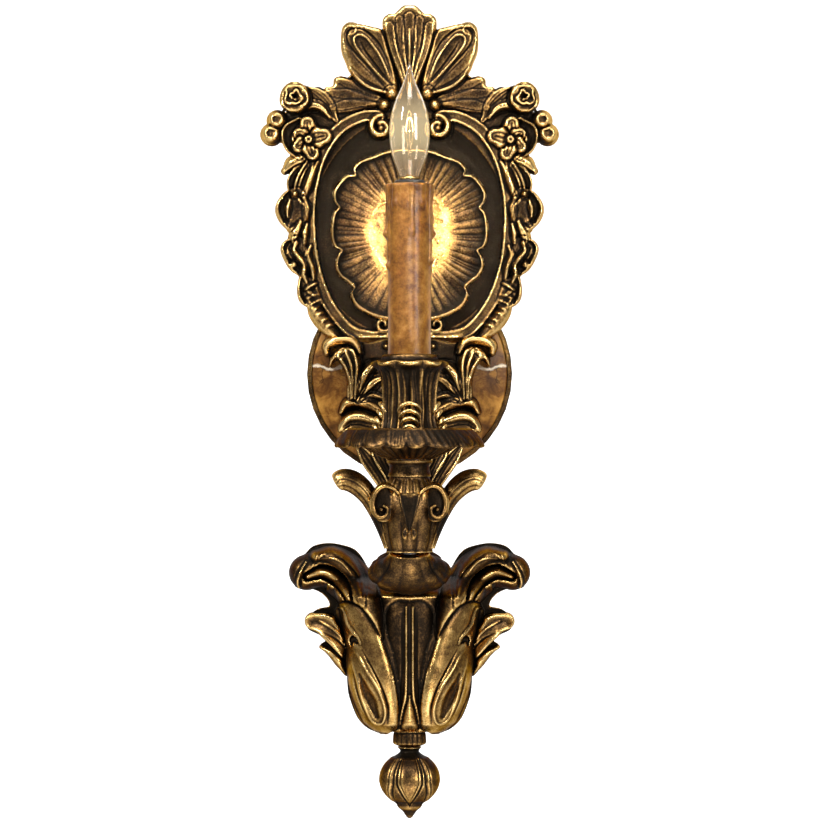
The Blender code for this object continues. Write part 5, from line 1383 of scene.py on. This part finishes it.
def filament(glow, support):
    """The coiled filament, bent into an arch, on two support wires and a post."""
    foot, top = heights_of("bulb_filament")
    wires = []
    for sign in (-1, 1):
        route = [(sign * x, COLUMN_OUT, foot + z) for x,
                  z in ((0.8, -14), (1.0, -4), (1.9, 1), (2.05, 5))]
        wires.append(wire("lead", route, 0.16, side=(0, 1, 0)))
    route = [(0, COLUMN_OUT, foot - 2), (0, COLUMN_OUT, foot + 5)]
    route += [(0, COLUMN_OUT - 0.3, foot + 11), (0, COLUMN_OUT, top - 0.4)]
    wires.append(wire("post", route, 0.13, side=(1, 0, 0)))
    piece("filament_supports", joined("supports", wires), support, "bulb", "bulb_filament",
          wear_and_shade=False)
    turns = 34
    share = np.linspace(0, 1, turns * 10)
    arch_x = 1.95 * np.cos(np.pi * (1 - share))
    arch_z = foot + 5 + (top - foot - 5.6) * np.sin(np.pi * share) ** 0.8
    wind = 2 * np.pi * turns * share
    coil = np.stack([arch_x + 0.24 * np.cos(wind), COLUMN_OUT + 0.24 * np.sin(wind),
                    arch_z + 0.1 * np.cos(wind)], 1)

    def strand(share, angle):
        return 0.085 + 0 * angle, 0.085 + 0 * angle

    coil = sweep("coil", coil, 6, strand, side=(0.3, 1, 0.2), fine=1)
    piece("filament_coil", coil, glow, "bulb", "bulb_filament", wear_and_shade=False)


def bulb_base(brass):
    """The bulb's screw shell."""
    foot, top = heights_of("bulb_base")
    thread = [(4.4, foot), (5.9, foot + 1.7)]
    for k in range(5):
        thread += [(5.9, foot + 2.4 + 2.2 * k), (5.5, foot + 3.5 + 2.2 * k)]
    thread += [(5.9, top - 1.2), (6.3, top - 0.7), (6.1, top - 0.05), (5.4, top - 0.05),
                (5.4, foot + 2), (3.8, foot + 0.3)]
    mesh = lathe("base", thread, 64, COLUMN_OUT, smooth=3, closed=True)
    piece("bulb_screw_shell", mesh, brass, "bulb", "bulb_base")


# ---------------------------------------------------------------- materials


class Paint:
    """A material under construction: its nodes and a few short ways to add them."""

    def __init__(self, name):
        self.material = bpy.data.materials.new(name)
        self.material.use_nodes = True
        self.nodes = self.material.node_tree.nodes
        self.links = self.material.node_tree.links
        self.shader = self.nodes["Principled BSDF"]
        self.place = self.nodes.new("ShaderNodeTexCoord").outputs["Object"]

    def set(self, **values):
        """Sets the shader's own sockets, named with _ for a space."""
        for key, value in values.items():
            self.shader.inputs[key.replace("_", " ")].default_value = value

    def link(self, source, target):
        self.links.new(source, target)

    def textured(self, kind, stretch=None, **values):
        """A texture node on the object's own coordinates, which stretch scales."""
        place = self.place
        if stretch:
            mapping = self.nodes.new("ShaderNodeMapping")
            mapping.inputs["Scale"].default_value = stretch
            self.link(place, mapping.inputs["Vector"])
            place = mapping.outputs["Vector"]
        node = self.nodes.new(kind)
        for key, value in values.items():
            node.inputs[key].default_value = value
        self.link(place, node.inputs["Vector"])
        return node

    def noise(self, scale, detail, rough, stretch=None, twist=0.0):
        node = self.textured(
            "ShaderNodeTexNoise", stretch, Scale=scale, Detail=detail, Roughness=rough, Distortion=twist)
        return node.outputs["Fac"]

    def cracks(self, scale):
        """The distance from the nearest edge between broken cells."""
        node = self.textured("ShaderNodeTexVoronoi", Scale=scale)
        node.feature = "DISTANCE_TO_EDGE"
        return node.outputs["Distance"]

    def attribute(self, name):
        node = self.nodes.new("ShaderNodeAttribute")
        node.attribute_name = name
        return node.outputs["Fac"]

    def math(self, operation, a, b=None, clamp=False):
        node = self.nodes.new("ShaderNodeMath")
        node.operation = operation
        node.use_clamp = clamp
        for socket, value in zip(node.inputs, (a, b)):
            if value is None:
                continue
            if isinstance(value, (int, float)):
                socket.default_value = value
            else:
                self.link(value, socket)
        return node.outputs[0]

    def spread(self, value, low, high, to_low=0.0, to_high=1.0):
        """Maps a value from one range to another, and stops at its ends."""
        node = self.nodes.new("ShaderNodeMapRange")
        for key, number in (("From Min", low), ("From Max", high), ("To Min", to_low),
                            ("To Max", to_high)):
            node.inputs[key].default_value = number
        self.link(value, node.inputs["Value"])
        return node.outputs["Result"]

    def colours(self, value, stops):
        node = self.nodes.new("ShaderNodeValToRGB")
        ramp_points = node.color_ramp.elements
        while len(ramp_points) < len(stops):
            ramp_points.new(0.5)
        for point, (place, colour) in zip(ramp_points, stops):
            point.position = place
            point.color = (*colour, 1)
        self.link(value, node.inputs["Fac"])
        return node.outputs["Color"]

    def mixed(self, share, a, b):
        node = self.nodes.new("ShaderNodeMix")
        node.data_type = "RGBA"
        for key, value in (("Factor_Float", share), ("A_Color", a), ("B_Color", b)):
            socket = next(s for s in node.inputs if s.identifier == key)
            if isinstance(value, tuple):
                socket.default_value = (*value, 1)
            else:
                self.link(value, socket)
        return next(s for s in node.outputs if s.identifier == "Result_Color")

    def bump(self, value, height, strength):
        """A fine relief, height in millimetres."""
        node = self.nodes.new("ShaderNodeBump")
        node.inputs["Distance"].default_value = height * MM
        node.inputs["Strength"].default_value = strength
        self.link(value, node.inputs["Height"])
        self.link(node.outputs["Normal"], self.shader.inputs["Normal"])

    def finish(self, colour=None, roughness=None, metallic=None):
        for key, value in (("Base Color", colour), ("Roughness", roughness), ("Metallic", metallic)):
            if value is not None:
                self.link(value, self.shader.inputs[key])
        return self.material


def antique_gold(name, lift=0.0):
    """Old gilt brass: near-black in the hollows (patina, and painted shade over wide hollows), brown on the
    flats and gold on what stands proud.
    """
    p = Paint(name)
    cloud = p.noise(34, 6, 0.62)
    patch = p.noise(130, 5, 0.65)
    fleck = p.noise(1000, 3, 0.65)
    # fine and middle: rubbed gold where proud, patina in the hollows; broad: painted shade darkening wide
    # hollows.
    parts = (
        p.spread(p.attribute("fine"), -0.3, 0.3, -0.3, 0.24),
        p.spread(p.attribute("middle"), -0.8, 0.8, -0.46, 0.4),
        p.spread(p.attribute("broad"), -2.4, 2.4, -0.3, 0.28),
        p.spread(cloud, 0.25, 0.75, -0.16, 0.16),
        p.spread(patch, 0.3, 0.7, -0.15, 0.15),
        p.spread(fleck, 0.3, 0.7, -0.17, 0.17),
        p.attribute("tone"),
    )
    value = parts[0]
    for part in parts[1:]:
        value = p.math("ADD", value, part)
    value = p.math("ADD", value, 0.44 + lift, clamp=True)
    colour = p.colours(value, [
        (0.0, (0.008, 0.006, 0.004)),
        (0.25, (0.026, 0.016, 0.009)),
        (0.46, (0.1, 0.056, 0.024)),
        (0.64, (0.27, 0.15, 0.05)),
        (0.82, (0.5, 0.3, 0.095)),
        (1.0, (0.82, 0.55, 0.22)),
    ])
    rough = p.math("ADD", p.spread(value, 0.1, 0.9, 0.46, 0.25), p.spread(patch, 0.3, 0.7, -0.08, 0.1))
    metal = p.spread(value, 0.12, 0.4, 0.7, 1.0)
    p.set(Specular_Tint=(0.42, 0.33, 0.24, 1))
    grit = p.noise(1700, 2, 0.6)
    grain = p.math("ADD", p.math("MULTIPLY", fleck, 0.6), p.math("MULTIPLY", grit, 0.3))
    p.bump(p.math("ADD", grain, patch), 0.3, 0.8)
    return p.finish(colour, rough, metal)


def marble():
    """Brown breccia: darker broken patches, a saturated brown field, and a white vein from each side."""
    p = Paint("brown_marble")
    middle = p.nodes.new("ShaderNodeVectorMath")
    middle.operation = "ABSOLUTE"
    p.link(p.place, middle.inputs[0])
    split = p.nodes.new("ShaderNodeSeparateXYZ")
    p.link(p.place, split.inputs[0])
    away = p.math("ABSOLUTE", split.outputs["X"])
    height = split.outputs["Z"]
    p.place = middle.outputs["Vector"]
    warp = p.noise(30, 8, 0.68, twist=1.2)
    patches = p.noise(90, 6, 0.65, twist=1.5)
    field = p.math("ADD", p.math("MULTIPLY", warp, 0.6), p.math("MULTIPLY", patches, 0.45), clamp=True)
    base = p.colours(field, [
        (0.34, (0.022, 0.009, 0.004)),
        (0.48, (0.13, 0.053, 0.011)),
        (0.56, (0.27, 0.125, 0.024)),
        (0.66, (0.4, 0.2, 0.042)),
        (0.8, (0.6, 0.37, 0.13)),
    ])
    lines = p.spread(p.cracks(190), 0.0, 0.12, 1.0, 0.0)
    band = p.spread(p.math("ABSOLUTE", p.math("ADD", height, -0.002)), 0.006, 0.016, 1.0, 0.0)
    shown = p.math("MULTIPLY", lines, p.math("MULTIPLY", band, p.spread(warp, 0.42, 0.52)), clamp=True)
    dark = p.mixed(p.math("MULTIPLY", shown, 0.85), base, (0.012, 0.006, 0.003))
    drift = p.math("MULTIPLY", p.math("SUBTRACT", p.noise(70, 5, 0.6), 0.5), 0.012)
    gap = p.math("ABSOLUTE", p.math("SUBTRACT", p.math("ADD", height, drift), 0.0035))
    vein = p.math("MULTIPLY", p.spread(gap, 0.0, 0.0011, 1.0, 0.0), p.spread(away, 0.036, 0.05),
                  clamp=True)
    colour = p.mixed(p.math("MULTIPLY", vein, 0.95), dark, (0.78, 0.7, 0.55))
    p.set(Specular_IOR_Level=0.12)
    return p.finish(colour, p.spread(patches, 0.3, 0.7, 0.3, 0.45))


def amber_resin():
    """The candle sleeve: amber resin, mottled lighter and darker, with a soft shine."""
    p = Paint("amber_resin")
    mottle = p.noise(150, 7, 0.74)
    smoke = p.noise(38, 4, 0.6, stretch=(1, 1, 0.45))
    value = p.math("ADD", p.math("MULTIPLY", mottle, 0.62), p.math("MULTIPLY", smoke, 0.38))
    colour = p.colours(value, [
        (0.36, (0.034, 0.011, 0.002)),
        (0.45, (0.115, 0.042, 0.006)),
        (0.53, (0.19, 0.08, 0.011)),
        (0.66, (0.32, 0.165, 0.035)),
    ])
    p.set(Subsurface_Weight=0.06, Subsurface_Radius=(0.003, 0.0015, 0.0008), Coat_Weight=0.1,
          Coat_Roughness=0.1)
    p.set(Specular_IOR_Level=0.22)
    p.bump(mottle, 0.1, 0.5)
    return p.finish(colour, p.spread(mottle, 0.3, 0.7, 0.28, 0.45))


def clear_glass():
    """The bulb's glass, with a painted glow from the lit filament in it: brightest at mid height."""
    p = Paint("bulb_glass")
    ripple = p.noise(180, 2, 0.5, stretch=(1, 1, 0.25))
    p.set(Transmission_Weight=1.0, IOR=1.45)
    p.bump(ripple, 0.02, 0.25)
    colour = p.colours(ripple, [(0.3, (1.0, 0.93, 0.8)), (0.7, (1.0, 0.96, 0.88))])
    painted_glow = p.math("ADD", p.attribute("painted_glow"), p.spread(ripple, 0.3, 0.7, -0.05, 0.05), clamp=True)
    light = p.colours(painted_glow, [(0.0, (0.0, 0.0, 0.0)), (0.5, (0.34, 0.25, 0.14)), (1.0, (0.8, 0.66, 0.4))])
    # Painted glow: the glass itself gives off warm light, though only the filament is lit.
    p.link(light, p.shader.inputs["Emission Color"])
    p.set(Emission_Strength=0.17)
    return p.finish(colour, p.spread(ripple, 0.3, 0.7, 0.0, 0.02))


def glowing():
    """The lit filament."""
    p = Paint("lit_filament")
    along = p.noise(700, 2, 0.5)
    colour = p.colours(along, [(0.3, (1.0, 0.62, 0.22)), (0.7, (1.0, 0.8, 0.45))])
    p.link(colour, p.shader.inputs["Emission Color"])
    p.set(Emission_Strength=60.0)
    return p.finish(colour, p.spread(along, 0.3, 0.7, 0.4, 0.6))


def plain_metal(name, dark, pale, rough, scale=260):
    """A metal with a brushed or plated grain and small darker stains."""
    p = Paint(name)
    grain = p.noise(scale, 5, 0.6)
    stain = p.noise(45, 5, 0.62)
    both = p.math("ADD", p.math("MULTIPLY", grain, 0.5), p.math("MULTIPLY", stain, 0.5))
    colour = p.colours(both, [(0.35, dark), (0.62, pale)])
    p.set(Metallic=1.0)
    p.bump(grain, 0.04, 0.5)
    return p.finish(colour, p.spread(grain, 0.3, 0.7, rough - 0.08, rough + 0.12))


def plain_coat(name, dark, pale, rough):
    """A plastic, card or insulation surface: a little mottled, with a fine grain."""
    p = Paint(name)
    grain = p.noise(320, 4, 0.6)
    broad = p.noise(50, 4, 0.6)
    both = p.math("ADD", p.math("MULTIPLY", grain, 0.4), p.math("MULTIPLY", broad, 0.6))
    colour = p.colours(both, [(0.38, dark), (0.62, pale)])
    p.bump(grain, 0.05, 0.4)
    return p.finish(colour, p.spread(grain, 0.3, 0.7, rough - 0.06, rough + 0.1))


def paint_frame(materials):
    """Gives every CAD node that stays in view the material of its slot."""
    slots = {part["node"]: part["material_slot"] for part in frame["record"]["subparts"]}
    slots["canopy_pan"] = "bright_brass"  # its rim round the marble is given the brighter brass
    for name, node in frame["nodes"].items():
        paint = materials.get(slots.get(name), materials["zinc_steel"])
        for slot in node.material_slots:
            slot.material = paint


# ---------------------------------------------------------------- studio


def stage_plane(name, size, place, turn, colour, glow=0.0):
    """A matt sheet around the object, slightly lit from itself if it glows."""
    bm = bmesh.new()
    bmesh.ops.create_grid(bm, x_segments=8, y_segments=8, size=size / 2)
    mesh = bpy.data.meshes.new(name)
    bm.to_mesh(mesh)
    bm.free()
    obj = placed(name, mesh)
    obj.location = place
    obj.rotation_euler = turn
    p = Paint(name)
    grain = p.noise(8, 3, 0.5)
    pale = tuple(min(1.0, c * 1.02) for c in colour)
    tone = p.colours(grain, [(0.3, colour), (0.7, pale)])
    if glow:
        p.link(tone, p.shader.inputs["Emission Color"])
        p.set(Emission_Strength=glow)
    mesh.materials.append(p.finish(tone, p.spread(grain, 0.3, 0.7, 0.7, 0.8)))


def area_light(name, place, target, size, power, colour=(1, 1, 1), tall=None, spread=180):
    """A soft rectangular light, size wide and tall high, that points at a target."""
    light = bpy.data.lights.new(name, "AREA")
    light.shape = "RECTANGLE"
    light.size = size
    light.size_y = tall or size
    light.energy = power
    light.color = colour
    light.spread = math.radians(spread)
    obj = placed(name, light)
    obj.location = place
    obj.rotation_euler = (Vector(target) - Vector(place)).to_track_quat("-Z", "Y").to_euler()


def studio():
    """A pale floor and backdrop, soft lights, and the camera straight in front."""
    scene = bpy.context.scene
    stage_plane("backdrop", 9.0, (0, 3.6, 0.4), (math.radians(90), 0, 0), (0.97, 0.97, 0.965), glow=0.98)
    stage_plane("floor", 12.0, (0, 0, -1.25), (0, 0, 0), (0.86, 0.855, 0.845))
    world = bpy.data.worlds.new("studio")
    scene.world = world
    world.use_nodes = True
    back = world.node_tree.nodes["Background"]
    back.inputs["Color"].default_value = (0.9, 0.91, 0.93, 1)
    back.inputs["Strength"].default_value = 0.3
    scene.view_settings.view_transform = "Standard"
    aim = (0, -0.04, 0)
    area_light("key", (-1.25, -1.15, 0.95), aim, 0.3, 36, (1, 0.965, 0.9), tall=0.6)
    area_light("fill", (1.0, -1.35, 0.45), aim, 0.5, 20, (1, 0.97, 0.93), tall=0.9)
    area_light("top", (0.05, -0.55, 1.25), aim, 0.7, 14, (1, 0.98, 0.95))
    area_light("low", (0.1, -1.2, -1.0), aim, 0.7, 7, (1, 0.95, 0.88))
    area_light("behind", (0.4, 1.5, 0.7), aim, 1.2, 2, (1, 1, 1))
    area_light("dish", (0.02, -1.5, 0.25), (0, -0.02, 0.088), 0.12, 0.05, (1, 0.93, 0.75), spread=5)
    camera = bpy.data.cameras.new("camera")
    camera.lens = CAMERA_LENS
    camera.sensor_width = 36.0
    camera.clip_start = 0.01
    camera.clip_end = 50.0
    view = placed("camera", camera)
    view.location = CAMERA_PLACE
    view.rotation_euler = (math.radians(90), 0, 0)
    scene.camera = view


def bulb_light():
    """The filament's own warm light, which shows only on what it falls on."""
    glow = bpy.data.lights.new("bulb_glow", "POINT")
    glow.energy = 0.22
    glow.color = (1, 0.74, 0.42)
    glow.shadow_soft_size = 0.004
    lamp = placed("bulb_glow", glow)
    lamp.location = (0, -COLUMN_OUT * MM, 0.147)
    lamp.visible_camera = False
    lamp.visible_transmission = False
    lamp.visible_glossy = False


# ---------------------------------------------------------------- everything together


def main():
    """Builds the studio, the materials and every piece."""
    studio()
    bulb_light()
    materials = {
        "gilt_brass": antique_gold("gilt_brass"),
        "aged_brass": antique_gold("aged_brass", lift=-0.06),
        "bright_brass": antique_gold("bright_brass", lift=0.12),
        "marble": marble(),
        "zinc_steel": plain_metal("zinc_steel", (0.3, 0.31, 0.32), (0.62, 0.63, 0.65), 0.36),
        "candle_resin": amber_resin(),
        "phenolic": plain_coat("phenolic", (0.012, 0.011, 0.01), (0.03, 0.028, 0.026), 0.35),
        "card": plain_coat("card", (0.5, 0.42, 0.3), (0.68, 0.6, 0.46), 0.85),
        "clear_glass": clear_glass(),
        "tungsten": plain_metal("support_wire", (0.55, 0.36, 0.12), (0.85, 0.62, 0.3), 0.3, 900),
        "wire_black": plain_coat("wire_black", (0.012, 0.012, 0.013), (0.03, 0.03, 0.03), 0.45),
        "wire_white": plain_coat("wire_white", (0.62, 0.61, 0.57), (0.8, 0.79, 0.76), 0.45),
        "wire_green": plain_coat("wire_green", (0.02, 0.16, 0.05), (0.05, 0.3, 0.1), 0.45),
        "nut_orange": plain_coat("nut_orange", (0.6, 0.16, 0.02), (0.85, 0.3, 0.05), 0.45),
    }
    paint_frame(materials)
    cartouche(materials["gilt_brass"])
    scroll_bracket(materials["gilt_brass"])
    calyx(materials["gilt_brass"])
    medallion_dish(materials["bright_brass"])
    finial(materials["gilt_brass"])
    drip_pan(materials["aged_brass"])
    candle_cup(materials["aged_brass"])
    urn(materials["aged_brass"])
    arm_casting(materials["gilt_brass"])
    marble_disc(materials["marble"])
    candle_sleeve(materials["candle_resin"])
    bulb_glass(materials["clear_glass"])
    filament(glowing(), materials["tungsten"])
    bulb_base(materials["bright_brass"])


main()
